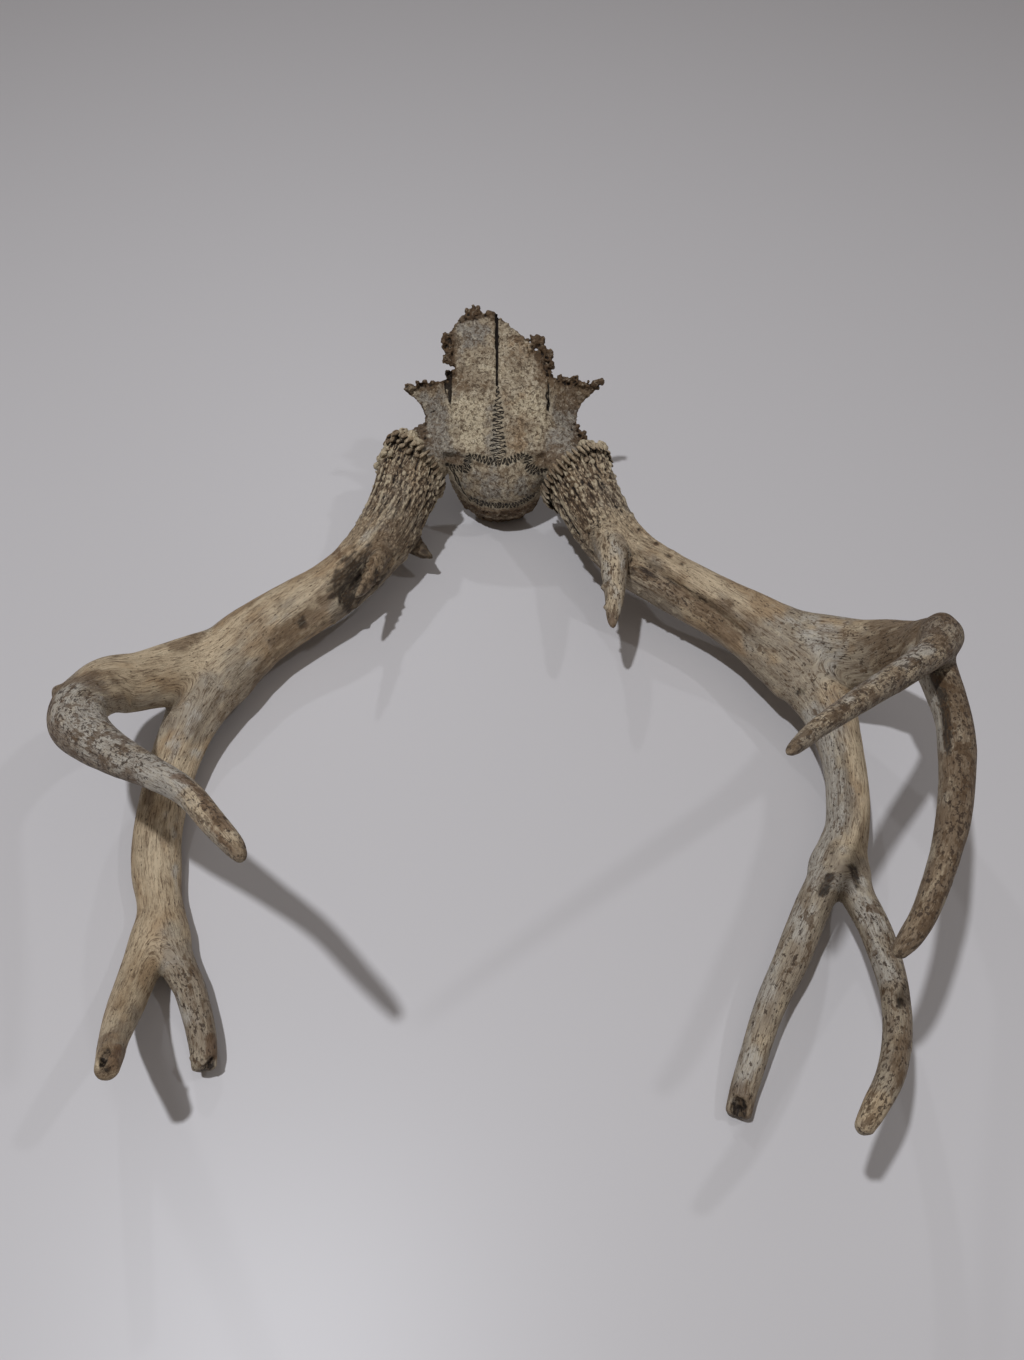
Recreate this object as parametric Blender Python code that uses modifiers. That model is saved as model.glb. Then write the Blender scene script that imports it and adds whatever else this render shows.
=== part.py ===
"""A pair of deer antlers still grown onto the broken plate of the skull.

The rack lies as it would on a table: the plate stands at the back, tilted up and away, and both
beams sweep out and forward just above the table. Each antler is split at its main fork.

Lengths are in millimetres, with X to the right, Y away from the viewer and Z up. The routes are
drawn about a point near the middle of the rack, and the finished solids are then moved so that
the origin is on the table, under the middle of their box.
"""
import math

import bmesh
import bpy
import numpy as np
from mathutils import Matrix, Vector, noise

MM = 0.001

# ---------------------------------------------------------------- driving dimensions
KERF = 0.3                      # gap left between neighbouring pieces
VOXEL = 1.5                     # fineness of a grown surface before it is thinned
ANTLER_FACES = 3250             # triangles kept for one whole antler
SKULL_FACES = 2350
ANTLER_RELIEF = (1.6, 14)       # height and spread of the uneven surface
SKULL_RELIEF = (1.2, 9)
RING_POINTS = 32                # points round one section
SPAN_STEPS = 5                  # sections drawn between two route points
MIDLINE_X = -8.0                # the skull's middle plane
BURR_RADIUS = 27.5
BURR_PEARLS = 27                # long pearls round the rim
BURR_PEARL_LENGTH = 6.0
SMALL_PEARLS = 12               # round pearls in each row just past the rim
SMALL_PEARL_REACHES = (22.0, 20.5, 19.5)    # how far each row stands from the beam's middle
PLATE_THICKNESS = 5.0
PLATE_COLUMNS = 16              # strips across the skull plate
RACK_MIDDLE = (-1.7, 3.5)       # where the middle of the finished box lies, in x and y
TABLE = ((0, 0, -30), (600, 600, 60))       # what lies below the table's top: middle and size

# A route point is (x, y, z, width, height, roll). Width lies level across the route and height
# stands square to it; roll turns the section, in degrees, so that a flattened branch can lean.
LEFT_BEAM = [
    (-54, 203, 52, 44, 42, 0), (-66, 192, 47, 45, 43, 0), (-72, 173, 44, 43, 41, 0),
    (-77, 155, 41, 40, 39, 0), (-84, 135, 38, 39, 38, 0), (-93, 118, 35, 38, 37, 0),
    (-105, 101, 32, 37, 36, 0), (-118, 87.5, 30, 38, 35, 5), (-134, 76, 28, 40, 34, 10),
    (-149, 64, 27, 41, 33, 16), (-163, 50.5, 27, 42, 31, 22), (-173, 36, 27, 42, 29, 24),
    (-183, 20, 26, 42, 27, 20),
]
LEFT_REAR = [
    (-173, 36, 27, 42, 29, 24), (-182, 20, 26, 42, 27, 20), (-188, 5, 24, 37, 26, 15),
    (-193, -11, 21, 31, 25, 10), (-197, -27, 18, 29, 24, 5), (-199.5, -48, 15.5, 28, 23, 0),
    (-200, -80, 12, 27, 22, 0), (-196.5, -102, 10, 27, 21, 0), (-191.5, -119, 9.5, 24, 20, 0),
    (-188, -131, 9.5, 26, 20, 0), (-185, -146, 10.5, 26, 17, 0), (-183.5, -157, 11.5, 12, 11, 0),
]
LEFT_OUTER_TINE = [
    (-189, -128, 11, 20, 19, 0), (-191, -148, 13, 20, 19, 0), (-191, -165, 18, 19, 18, 0),
    (-188, -188, 33, 17, 16.5, 0), (-182, -207, 53, 13.5, 13.5, 0), (-176.5, -219, 67, 12, 12, 0),
    (-172.5, -228, 77.5, 10.5, 10.5, 0),
]
LEFT_INNER_TINE = [
    (-184, -130, 10.5, 18, 19, 0), (-177.5, -148, 11, 17, 18, 0), (-171, -160, 11, 16.5, 16.5, 0),
    (-165, -169, 11, 15.5, 15.5, 0), (-158, -184, 11.5, 14.5, 14, 0), (-153, -197, 12, 13.5, 13, 0),
    (-150.5, -208, 12, 12, 11, 0),
]
LEFT_FRONT = [
    (-158, 52, 27, 36, 27, 20), (-175, 34, 29, 39, 25, 30), (-191, 22, 34, 40, 22, 38),
    (-205, 9, 43, 37, 20, 42), (-215, -3, 53, 34, 20, 42), (-225, -15, 65, 34, 21, 40),
    (-227.5, -31, 78, 30, 22, 30), (-226.5, -48, 90, 28, 23, 15), (-220, -64, 99, 28, 22, 0),
    (-207.5, -79, 109, 25, 21, 0), (-185, -99, 124, 19.5, 17.5, 0), (-159, -120, 143, 14.5, 14, 0),
    (-133.5, -142.5, 163, 11.5, 11.5, 0), (-114, -166, 179, 10, 10, 0), (-102.5, -180, 188.5, 8, 8, 0),
    (-97.5, -187, 192.5, 5, 5, 0),
]
LEFT_BROW = [
    (-88, 132, 40, 17, 16, 0), (-86, 120, 42, 14, 15, 0), (-86, 104, 44, 13, 14, 0),
    (-89, 86, 47, 11, 12, 0), (-93, 70, 51, 8, 9, 0), (-96, 62, 54, 4, 4, 0),
]
LEFT_SPUR = [
    (-76, 142, 30, 13, 12, 0), (-69, 137, 25, 9, 9, 0), (-61, 131, 22, 6, 6, 0),
    (-55, 127, 20, 2.5, 2.5, 0),
]
RIGHT_BEAM = [
    (33, 195, 52, 44, 42, 0), (43, 182, 47, 45, 43, 0), (49, 164, 46, 43, 41, 0),
    (57, 144, 44, 40, 39, 0), (66, 124, 42, 38, 37, 0), (79, 106, 40, 36, 36, 0),
    (96, 93, 38, 36, 35, 0), (114, 81, 36, 37, 35, -6), (134, 67, 35, 39, 33, -14),
    (152, 52, 35, 43, 31, -22), (168, 35, 35, 46, 29, -24), (178, 17, 35, 44, 27, -18),
]
RIGHT_REAR = [
    (158, 45, 35, 42, 29, -22), (170, 31, 35, 44, 27, -20), (179, 14, 34, 42, 26, -12),
    (186, -8, 33, 33, 25, -5), (189, -30, 31, 26, 24, 0), (189.5, -50, 29, 23.5, 23, 0),
    (187.5, -69, 28, 23.5, 22, 0), (184, -85, 27, 23.5, 21, 0), (179, -98, 26, 26.5, 20, 0),
    (175, -110, 25, 30, 19, 0), (173, -121, 25, 16, 13, 0),
]
RIGHT_INNER_TINE = [
    (178, -96, 26, 20, 20, 0), (169, -112, 25.5, 19, 19, 0), (160, -126, 25, 18.5, 18, 0),
    (150.5, -143, 22.5, 18, 17, 0), (142, -159, 20, 17, 16.5, 0), (131, -177, 17.5, 15, 15, 0),
    (124, -191, 15, 14, 14, 0), (117.5, -206, 11.5, 13.5, 14, 0), (112.5, -218, 8, 13, 14, 0),
    (109, -228, 6, 12.5, 14, 0),
]
RIGHT_OUTER_TINE = [
    (180, -98, 26, 20, 20, 0), (181, -114, 27, 18.5, 18.5, 0), (181, -128, 31, 17, 17, 0),
    (182, -148, 40, 16, 16, 0), (180.5, -170, 50, 14.5, 15, 0), (177, -190, 60, 13, 13.5, 0),
    (169, -213, 72, 12.5, 12.5, 0), (159, -232, 81, 11.5, 12, 0), (148, -246, 86, 10, 10, 0),
    (141, -254.5, 88.5, 7.5, 7.5, 0),
]
RIGHT_FRONT = [
    (150, 52, 35, 38, 26, -24), (168, 37, 38, 43, 25, -32), (187, 25.5, 46, 43, 23, -42),
    (202, 15, 57, 39, 22, -48), (214, 7, 71, 33, 23, -48), (222, -3, 86, 28, 24, -40),
    (226, -9, 98, 25, 24, -20), (228, -12, 107, 18, 17, 0),
]
RIGHT_TINE_ONE = [
    (226, -8, 100, 23, 23, 0), (227, -14, 108, 22, 21, 0), (218, -29, 118, 19, 18, 0),
    (204, -46, 130, 15.5, 15, 0), (172, -78, 153, 12.8, 12.5, 0), (144, -107, 176, 10.5, 10, 0),
    (119, -134, 198, 8, 8, 0), (104, -152, 212, 5.5, 5.5, 0), (99, -158, 217, 3, 3, 0),
]
RIGHT_TINE_TWO = [
    (223, -9, 92, 23, 24, 0), (223, -26, 98, 20, 22, 0), (221, -46, 104, 19, 20, 0),
    (218, -69, 110, 17.5, 18, 0), (212, -91, 116, 17.5, 17.5, 0), (204, -114, 121, 15.5, 15.5, 0),
    (195, -135, 127, 14.5, 14.5, 0), (186.5, -152, 130, 12.5, 13, 0), (177.5, -168, 132, 11.5, 12, 0),
    (169, -182, 132, 10.5, 11, 0), (161, -192, 132, 9.5, 9.5, 0), (155, -198, 131, 6.5, 6.5, 0),
]
RIGHT_BROW = [
    (62, 124, 50, 20, 17, 0), (63, 106, 54, 19, 15, 0), (64, 84, 55, 16, 13, 0),
    (63, 62, 54, 12, 10, 0), (61, 45, 53, 7, 6, 0), (61, 39, 52, 3, 3, 0),
]

# Hollows drawn along a branch: (angle round the section, half spread in degrees, depth, where it
# starts and where it ends as a share of the route). Angle 0 is the broad axis, 90 the top, and a
# negative depth is a ridge.
LEFT_FURROWS = {
    "beam": [(133, 20, 3.6, 0.40, 0.78), (165, 10, -1.5, 0.30, 1.0), (70, 9, -1.0, 0.10, 0.50),
             (105, 8, -1.2, 0.10, 0.55), (88, 8, 1.0, 0.05, 0.45), (30, 9, 0.9, 0.05, 0.55)],
    "rear": [(175, 9, -1.5, 0.0, 0.45), (140, 14, 1.2, 0.0, 0.5), (60, 12, 0.8, 0.2, 0.9)],
    "front": [(200, 12, -1.4, 0.35, 0.75), (120, 22, 1.5, 0.25, 0.55)],
}
RIGHT_FURROWS = {
    "beam": [(48, 17, 3.8, 0.36, 0.95), (78, 9, -1.6, 0.32, 0.95), (105, 9, 0.9, 0.05, 0.6),
             (130, 8, -1.2, 0.08, 0.55), (20, 8, -1.0, 0.1, 0.6), (60, 8, -1.0, 0.05, 0.3)],
    "rear": [(90, 16, 1.4, 0.2, 0.95), (60, 9, -1.0, 0.1, 0.9)],
    "front": [(70, 20, 1.2, 0.1, 0.6), (25, 9, -1.2, 0.0, 0.6), (110, 9, -0.9, 0.0, 0.7)],
}

# The skull plate: its forehead is one slope, and its braincase curls down and under from it.
PLATE_SLOPE = (0.788, 0.616)    # the way the forehead climbs, in y and z
CROWN = (177.0, 62.0)           # where the forehead meets the braincase, in y and z
# Rows across the plate: (distance up the forehead from the crown, left half width, right half
# width), the jagged outline seen from in front.
FOREHEAD = [
    (106, -20, -15), (102, -22, -12), (98, -24, -5), (94, -26, 4), (90, -28, 9),
    (86, -31, 14), (82, -33, 19), (78, -33, 22), (74, -33, 24), (69, -32, 28), (64, -31, 30),
    (60, -31, 32), (58, -32, 50), (56.5, -34, 65), (55, -46, 69), (53, -62, 68), (50, -62, 64),
    (46, -58, 60), (41, -55, 56),
    (34, -52, 54), (27, -51, 53), (20, -50, 52), (13, -48, 49), (6, -43, 44),
]
# Rows down the braincase: (y, z, half width left, half width right, how far its sides fall back).
BRAINCASE = [
    (176.5, 61, -38, 38, 13), (171.5, 55, -38, 35, 15), (167.5, 48.5, -37, 33, 18),
    (165, 41.5, -36, 31, 20), (164.5, 35, -35, 30, 21), (166, 28, -33, 29, 21),
    (168.5, 20, -30, 27, 19), (171.5, 13, -27, 24, 15), (175, 9.5, -24, 21, 11),
    (181, 7, -22, 19, 9),
]
REAR_RIM = ((-9, 187.5, 3.5), (19, 6.5, 6.5))   # thick rim that the rack rests on: middle, radii
CRACK = ((0.7, 47), (2.2, 104))     # the open crack's two ends: width, distance up the forehead
CRACK_LIFTS = (-12, 6)              # it goes right through the plate
LEFT_PEDICLE = [
    (-36, 214, 62, 40, 34, 0), (-45, 208, 57, 38, 35, 0), (-54, 203, 52, 38, 36, 0),
    (-62, 195.5, 48.5, 41, 39, 0),
]
RIGHT_PEDICLE = [
    (18, 212, 62, 40, 34, 0), (26, 203, 57, 38, 35, 0), (33, 195, 52, 38, 36, 0),
    (40, 186, 48.5, 41, 39, 0),
]
# Spongy broken lumps on the plate's rim: (x, distance up the forehead, lift, radii).
RIM_LUMPS = [
    (-44, 79, -4, (5, 4, 9)), (-44, 68, -5, (4, 4, 6)), (-25, 103, -2, (4, 3, 5)),
    (18, 78, -4, (5, 5, 6)), (24, 72, -5, (5, 4, 6)), (26, 66, -6, (3, 3, 4)),
    (-61, 52, -11, (3, 3, 3)), (57, 55, -10, (3, 3, 4)), (52, 22, -16, (4, 3, 6)),
    (-38, 57, -9, (6, 4, 4)), (28, 57, -8, (6, 4, 4)), (-17, 97, -2, (4, 3, 4)),
]

# Small spurs and knobs: (x, y, z, radius) of the tip end of each short swelling.
LEFT_KNOBS = [
    (-76, 121, 31, 5.0), (-240, -38, 90, 2.5), (-60, 160, 38, 4.0), (-66, 148, 36, 4.0),
    (-79, 199, 60, 4.5), (-73, 203, 65, 3.5), (-93, 173, 54, 2.8), (-112, 128, 44, 2.8),
]
RIGHT_KNOBS = [
    (52, 92, 46, 3.0), (88, 87, 28, 2.6), (98, 77, 29, 3.0), (149, 67, 48, 3.2),
    (60, 184, 63, 5.0), (51, 187, 67, 4.5), (44, 140, 36, 4.0), (229, -6, 107, 5.0),
]

# Saw cuts that part an antler at its fork: (a point on the cut, the way the branch runs).
LEFT_CUTS = {
    "burr": ((-59, 198, 49.5), (-0.70, -0.70, -0.15)),
    "front": ((-219, -9, 58), (-0.45, -0.65, 0.60)),
    "rear": ((-199, -25, 18.5), (-0.12, -0.98, -0.12)),
}
RIGHT_CUTS = {
    "burr": ((38, 188.5, 49.5), (0.58, -0.80, -0.15)),
    "front": ((214, 8, 70), (0.72, -0.40, 0.57)),
    "rear": ((189, -30, 31.5), (0.12, -0.98, -0.08)),
}
CUT_SIZE = {"burr": 74.0, "front": 54.0, "rear": 48.0}      # each blade spans one branch only
# Hollows that break the tines' ends: (middle, radii, the way the hollow points).
LEFT_BREAKS = [
    ((-176, -233, 76), (4.5, 4.5, 9), (0, -0.6, 0.8)),
    ((-144, -211, 15), (5, 5, 8), (0.3, -1, 0)),
]
RIGHT_BREAKS = [((108, -231, 10), (5, 5, 5), (0, -1, 0))]
BREAK_ROUGHNESS = 0.25


# ---------------------------------------------------------------- drawing helpers
def smooth_route(stations):
    """Catmull-Rom curve through the route points, all six values at once."""
    pts = np.array(stations, dtype=float)
    padded = np.vstack([2 * pts[0] - pts[1], pts, 2 * pts[-1] - pts[-2]])
    out = []
    for i in range(1, len(padded) - 2):
        a, b, c, d = padded[i - 1:i + 3]
        for k in range(SPAN_STEPS):
            t = k / SPAN_STEPS
            out.append(0.5 * (2 * b + (c - a) * t + (2 * a - 5 * b + 4 * c - d) * t ** 2
                              + (3 * b - a - 3 * c + d) * t ** 3))
    out.append(pts[-1])
    return np.array(out)


def drawn_in(angle, share, furrows):
    """How deep the furrows make the surface at an angle, a share of the way along a route."""
    depth = 0.0
    for middle, spread, deepest, start, end in furrows:
        if start < share < end:
            away = (angle - middle + 180) % 360 - 180
            fade = math.sin(math.pi * (share - start) / (end - start)) ** 0.5
            depth += deepest * fade * math.exp(-(away / spread) ** 2)
    return depth


def loft(bm, stations, furrows=()):
    """Skin elliptical sections along a route: the sections change shape all the way."""
    route = smooth_route(stations)
    centres = route[:, :3]
    tangents = np.gradient(centres, axis=0)
    rings = []
    for i, (centre, tangent, row) in enumerate(zip(centres, tangents, route)):
        width, height, roll = row[3:]
        t = Vector(tangent).normalized()
        side = t.cross(Vector((0, 0, 1))).normalized()
        up = side.cross(t)
        turn = math.radians(roll)
        broad = side * math.cos(turn) + up * math.sin(turn)
        narrow = up * math.cos(turn) - side * math.sin(turn)
        ring = []
        for k in range(RING_POINTS):
            a = math.tau * k / RING_POINTS
            offset = broad * (width / 2 * math.cos(a)) + narrow * (height / 2 * math.sin(a))
            offset *= 1 - drawn_in(math.degrees(a), i / (len(route) - 1), furrows) / offset.length
            ring.append(bm.verts.new(Vector(centre) + offset))
        rings.append(ring)
    for one, two in zip(rings, rings[1:]):
        for k in range(RING_POINTS):
            n = (k + 1) % RING_POINTS
            bm.faces.new((one[k], one[n], two[n], two[k]))
    bm.faces.new(list(reversed(rings[0])))
    bm.faces.new(rings[-1])


def ball(bm, centre, radii, axis=(0, 0, 1), detail=2):
    """A round swelling, stretched along one axis."""
    turn = Vector((0, 0, 1)).rotation_difference(Vector(axis)).to_matrix().to_4x4()
    place = Matrix.Translation(centre) @ turn @ Matrix.Diagonal((*radii, 1))
    bmesh.ops.create_icosphere(bm, subdivisions=detail, radius=1, matrix=place)


def burr(bm, centre, axis, seed):
    """The coronet: a collar with a ring of long pearls, uneven in size, and rows of small ones."""
    normal = Vector(axis).normalized()
    side = normal.cross(Vector((0, 0, 1))).normalized()
    up = side.cross(normal)
    collar = Vector(centre) + normal * 1.5
    ball(bm, collar, (BURR_RADIUS - 4.5, BURR_RADIUS - 4.5, 8), normal, 3)
    for k in range(BURR_PEARLS):
        a = math.tau * k / BURR_PEARLS
        wobble = noise.noise(Vector((seed, 3 * math.cos(a), 3 * math.sin(a))))
        out = side * math.cos(a) + up * math.sin(a)
        spot = collar + out * (BURR_RADIUS - 3.2 + 2 * wobble)
        ball(bm, spot, (2.2, 2.2, BURR_PEARL_LENGTH + 3 * wobble), normal + out * 0.25)
    for row, reach in enumerate(SMALL_PEARL_REACHES, 1):
        for k in range(SMALL_PEARLS):
            a = math.tau * (k + 0.5 * row) / SMALL_PEARLS
            wobble = noise.noise(Vector((seed + row, 5 * math.cos(a), 5 * math.sin(a))))
            out = side * math.cos(a) + up * math.sin(a)
            ahead = normal * (3 + 8 * row + 6 * wobble)
            ball(bm, collar + ahead + out * reach, (2.3, 2.3, 3.6), normal, 1)


def finish_mesh(bm, name):
    """Turn millimetres into metres and hand the drawing over as a mesh."""
    bmesh.ops.scale(bm, vec=(MM, MM, MM), verts=bm.verts)
    bmesh.ops.recalc_face_normals(bm, faces=bm.faces)
    mesh = bpy.data.meshes.new(name)
    bm.to_mesh(mesh)
    bm.free()
    return mesh


def add_object(name, mesh, collection):
    obj = bpy.data.objects.new(name, mesh)
    collection.objects.link(obj)
    return obj


def applied(obj, name):
    """The object's mesh with its modifiers worked in."""
    graph = bpy.context.evaluated_depsgraph_get()
    mesh = bpy.data.meshes.new_from_object(obj.evaluated_get(graph), depsgraph=graph)
    mesh.name = name
    return mesh


def grow_together(obj, faces, relief):
    """Fuse overlapping forms into one skin, soften it, roughen it and thin it."""
    height, spread = relief
    fuse = obj.modifiers.new("fuse", "REMESH")
    fuse.mode = "VOXEL"
    fuse.voxel_size = VOXEL * MM
    soften = obj.modifiers.new("soften", "SMOOTH")
    soften.factor = 0.5
    soften.iterations = 4
    texture = bpy.data.textures.new(obj.name + " lumps", "CLOUDS")
    texture.noise_scale = spread * MM
    texture.noise_depth = 2
    rough = obj.modifiers.new("lumps", "DISPLACE")
    rough.texture = texture
    rough.texture_coords = "LOCAL"
    rough.strength = height * MM
    rough.mid_level = 0.5
    full = applied(obj, obj.name + " full")
    obj.modifiers.clear()
    obj.data = full
    thin = obj.modifiers.new("thin", "DECIMATE")
    thin.ratio = faces / (2 * len(full.polygons))
    thin.use_collapse_triangulate = True
    obj.data = applied(obj, obj.name)
    obj.modifiers.clear()


def block(name, middle, size, collection, direction=(0, 0, 1)):
    """A box-shaped cutter, its third side turned along a direction."""
    bpy.ops.mesh.primitive_cube_add(size=1)
    obj = bpy.context.object
    obj.name = name
    turn = Vector((0, 0, 1)).rotation_difference(Vector(direction)).to_matrix().to_4x4()
    obj.data.transform(Matrix.Translation(Vector(middle) * MM) @ turn
                       @ Matrix.Diagonal((*(Vector(size) * MM), 1)))
    return as_cutter(obj, collection)


def blade(name, point, direction, size, collection):
    """A thin saw blade, square to a branch."""
    return block(name, point, (size, size, KERF), collection, direction)


def scoop(name, centre, radii, axis, collection):
    """A rough hollow that breaks a tine's end."""
    bm = bmesh.new()
    ball(bm, Vector(centre), radii, axis)
    for vert in bm.verts:
        vert.co += (vert.co - Vector(centre)) * BREAK_ROUGHNESS * noise.noise(vert.co * 0.4)
    return as_cutter(add_object(name, finish_mesh(bm, name), collection), collection)


def as_cutter(obj, collection):
    for old in obj.users_collection:
        old.objects.unlink(obj)
    collection.objects.link(obj)
    obj.hide_render = True
    obj.display_type = "WIRE"
    return obj


def cut(obj, cutters):
    for cutter in cutters:
        step = obj.modifiers.new("cut", "BOOLEAN")
        step.operation = "DIFFERENCE"
        step.object = cutter
    obj.data = applied(obj, obj.name)
    obj.modifiers.clear()


def loose_parts(mesh):
    """Split a mesh into its separate closed bodies, largest first."""
    bm = bmesh.new()
    bm.from_mesh(mesh)
    bm.verts.ensure_lookup_table()
    unseen = set(bm.verts)
    groups = []
    while unseen:
        stack = [unseen.pop()]
        group = set(stack)
        while stack:
            for edge in stack.pop().link_edges:
                for vert in edge.verts:
                    if vert in unseen:
                        unseen.remove(vert)
                        group.add(vert)
                        stack.append(vert)
        groups.append(group)
    groups.sort(key=len, reverse=True)
    parts = []
    for group in groups:
        copy = bm.copy()
        keep = {vert.index for vert in group}
        copy.verts.ensure_lookup_table()
        bmesh.ops.delete(copy, geom=[v for v in copy.verts if v.index not in keep], context="VERTS")
        parts.append(copy)
    bm.free()
    return parts


def bone_material(name, colour, roughness):
    material = bpy.data.materials.new(name)
    material.use_nodes = True
    shader = material.node_tree.nodes["Principled BSDF"]
    shader.inputs["Base Color"].default_value = (*colour, 1)
    shader.inputs["Roughness"].default_value = roughness
    shader.inputs["Metallic"].default_value = 0
    return material


def finish_piece(obj, colour, roughness):
    """Shade a finished piece smooth and give it its own bone colour."""
    obj.data.shade_smooth()
    obj.data.materials.append(bone_material(obj.name, colour, roughness))
    print(obj.name, len(obj.data.polygons))


# ---------------------------------------------------------------- the antlers
def antler(side, routes, furrows, knobs, burr_place, cuts, breaks, colours, parts, cutters):
    """One antler: its first three routes are the beam, the rear fork and the front fork."""
    bm = bmesh.new()
    for k, route in enumerate(routes):
        loft(bm, route, furrows[k] if k < len(furrows) else ())
    for x, y, z, radius in knobs:
        ball(bm, (x, y, z), (radius, radius, radius * 1.3))
    burr(bm, *burr_place)
    whole = add_object(side + "_whole", finish_mesh(bm, side), parts)
    grow_together(whole, ANTLER_FACES, ANTLER_RELIEF)
    blades = [blade(f"{side} {name} cut", *cuts[name], CUT_SIZE[name], cutters) for name in cuts]
    hollows = [scoop(f"{side} break {k}", *place, cutters) for k, place in enumerate(breaks)]
    cut(whole, blades + hollows + [block("below the " + side, *TABLE, cutters)])
    pieces = loose_parts(whole.data)
    markers = {
        side + "_beam": Vector(routes[0][5][:3]),
        side + "_rear_fork": Vector(routes[1][6][:3]),
        side + "_front_fork": Vector(routes[2][6][:3]),
    }
    for (name, marker), colour in zip(markers.items(), colours):
        own = min(pieces, key=lambda b: min((v.co / MM - marker).length for v in b.verts))
        mesh = bpy.data.meshes.new(name)
        own.to_mesh(mesh)
        finish_piece(add_object(name, mesh, parts), colour, 0.6)
    for piece in pieces:
        piece.free()
    bpy.data.objects.remove(whole)


# ---------------------------------------------------------------- the skull plate
def sideways_fall(dx, up):
    """How far the forehead lies below its middle at a distance to the side."""
    inner = 0.0016 * dx * dx
    outside = max(0.0, abs(dx) - 30)
    wing = outside * (0.38 if up < 40 else 0.30)
    rim = 0.004 * outside ** 2 * max(0.0, (up - 44) / 10)
    return inner + wing - rim


def on_forehead(x, up, lift):
    """A point a distance up the forehead's slope from the crown, and lifted off it."""
    sy, sz = PLATE_SLOPE
    return (x, CROWN[0] + up * sy - lift * sz, CROWN[1] + up * sz + lift * sy)


def plate_rows():
    """Points of the plate's outer surface, row by row from the nose end down to the rear edge."""
    shares = [k / PLATE_COLUMNS for k in range(PLATE_COLUMNS + 1)]
    rows = []
    for up, left, right in FOREHEAD:
        offsets = [left + (right - left) * share for share in shares]
        rows.append([on_forehead(MIDLINE_X + dx, up, -sideways_fall(dx, up)) for dx in offsets])
    for y, z, left, right, back in BRAINCASE:
        row = []
        for share in shares:
            dx = left + (right - left) * share
            fall = back * (dx / max(-left, right)) ** 2
            row.append((MIDLINE_X + dx, y + fall, z - 0.12 * fall))
        rows.append(row)
    return rows


def plate_wall(parts):
    """The plate's curved sheet, given its thickness on the inside, in millimetres."""
    bm = bmesh.new()
    rows = [[bm.verts.new(point) for point in row] for row in plate_rows()]
    for one, two in zip(rows, rows[1:]):
        for k in range(PLATE_COLUMNS):
            bm.faces.new((one[k], one[k + 1], two[k + 1], two[k]))
    shell = add_object("shell", finish_mesh(bm, "shell"), parts)
    if shell.data.polygons[0].normal.z < 0:
        shell.data.flip_normals()
    wall = shell.modifiers.new("wall", "SOLIDIFY")
    wall.thickness = PLATE_THICKNESS * MM
    wall.offset = -1
    bm = bmesh.new()
    bm.from_mesh(applied(shell, "shell wall"))
    bmesh.ops.scale(bm, vec=(1 / MM,) * 3, verts=bm.verts)
    bpy.data.objects.remove(shell)
    return bm


def open_crack(cutters):
    """A wedge that opens the midline from the crown's side to the nose end."""
    bm = bmesh.new()
    corners = []
    for width, up in CRACK:
        for lift in CRACK_LIFTS:
            for x in (-width / 2, width / 2):
                corners.append(bm.verts.new(on_forehead(MIDLINE_X + x, up, lift)))
    bmesh.ops.convex_hull(bm, input=corners)
    return as_cutter(add_object("crack", finish_mesh(bm, "crack"), cutters), cutters)


def skull_plate(colour, parts, cutters):
    bm = plate_wall(parts)
    loft(bm, LEFT_PEDICLE)
    loft(bm, RIGHT_PEDICLE)
    for x, up, lift, radii in RIM_LUMPS:
        ball(bm, on_forehead(x, up, lift), radii, (0, *PLATE_SLOPE))
    ball(bm, *REAR_RIM, detail=3)
    plate = add_object("skull_plate", finish_mesh(bm, "skull_plate"), parts)
    grow_together(plate, SKULL_FACES, SKULL_RELIEF)
    blades = [blade("skull and " + side, *cuts["burr"], CUT_SIZE["burr"], cutters)
              for side, cuts in (("left", LEFT_CUTS), ("right", RIGHT_CUTS))]
    cut(plate, [open_crack(cutters), block("below the plate", *TABLE, cutters)] + blades)
    pieces = loose_parts(plate.data)
    pieces[0].to_mesh(plate.data)
    for piece in pieces:
        piece.free()
    finish_piece(plate, colour, 0.7)


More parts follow.
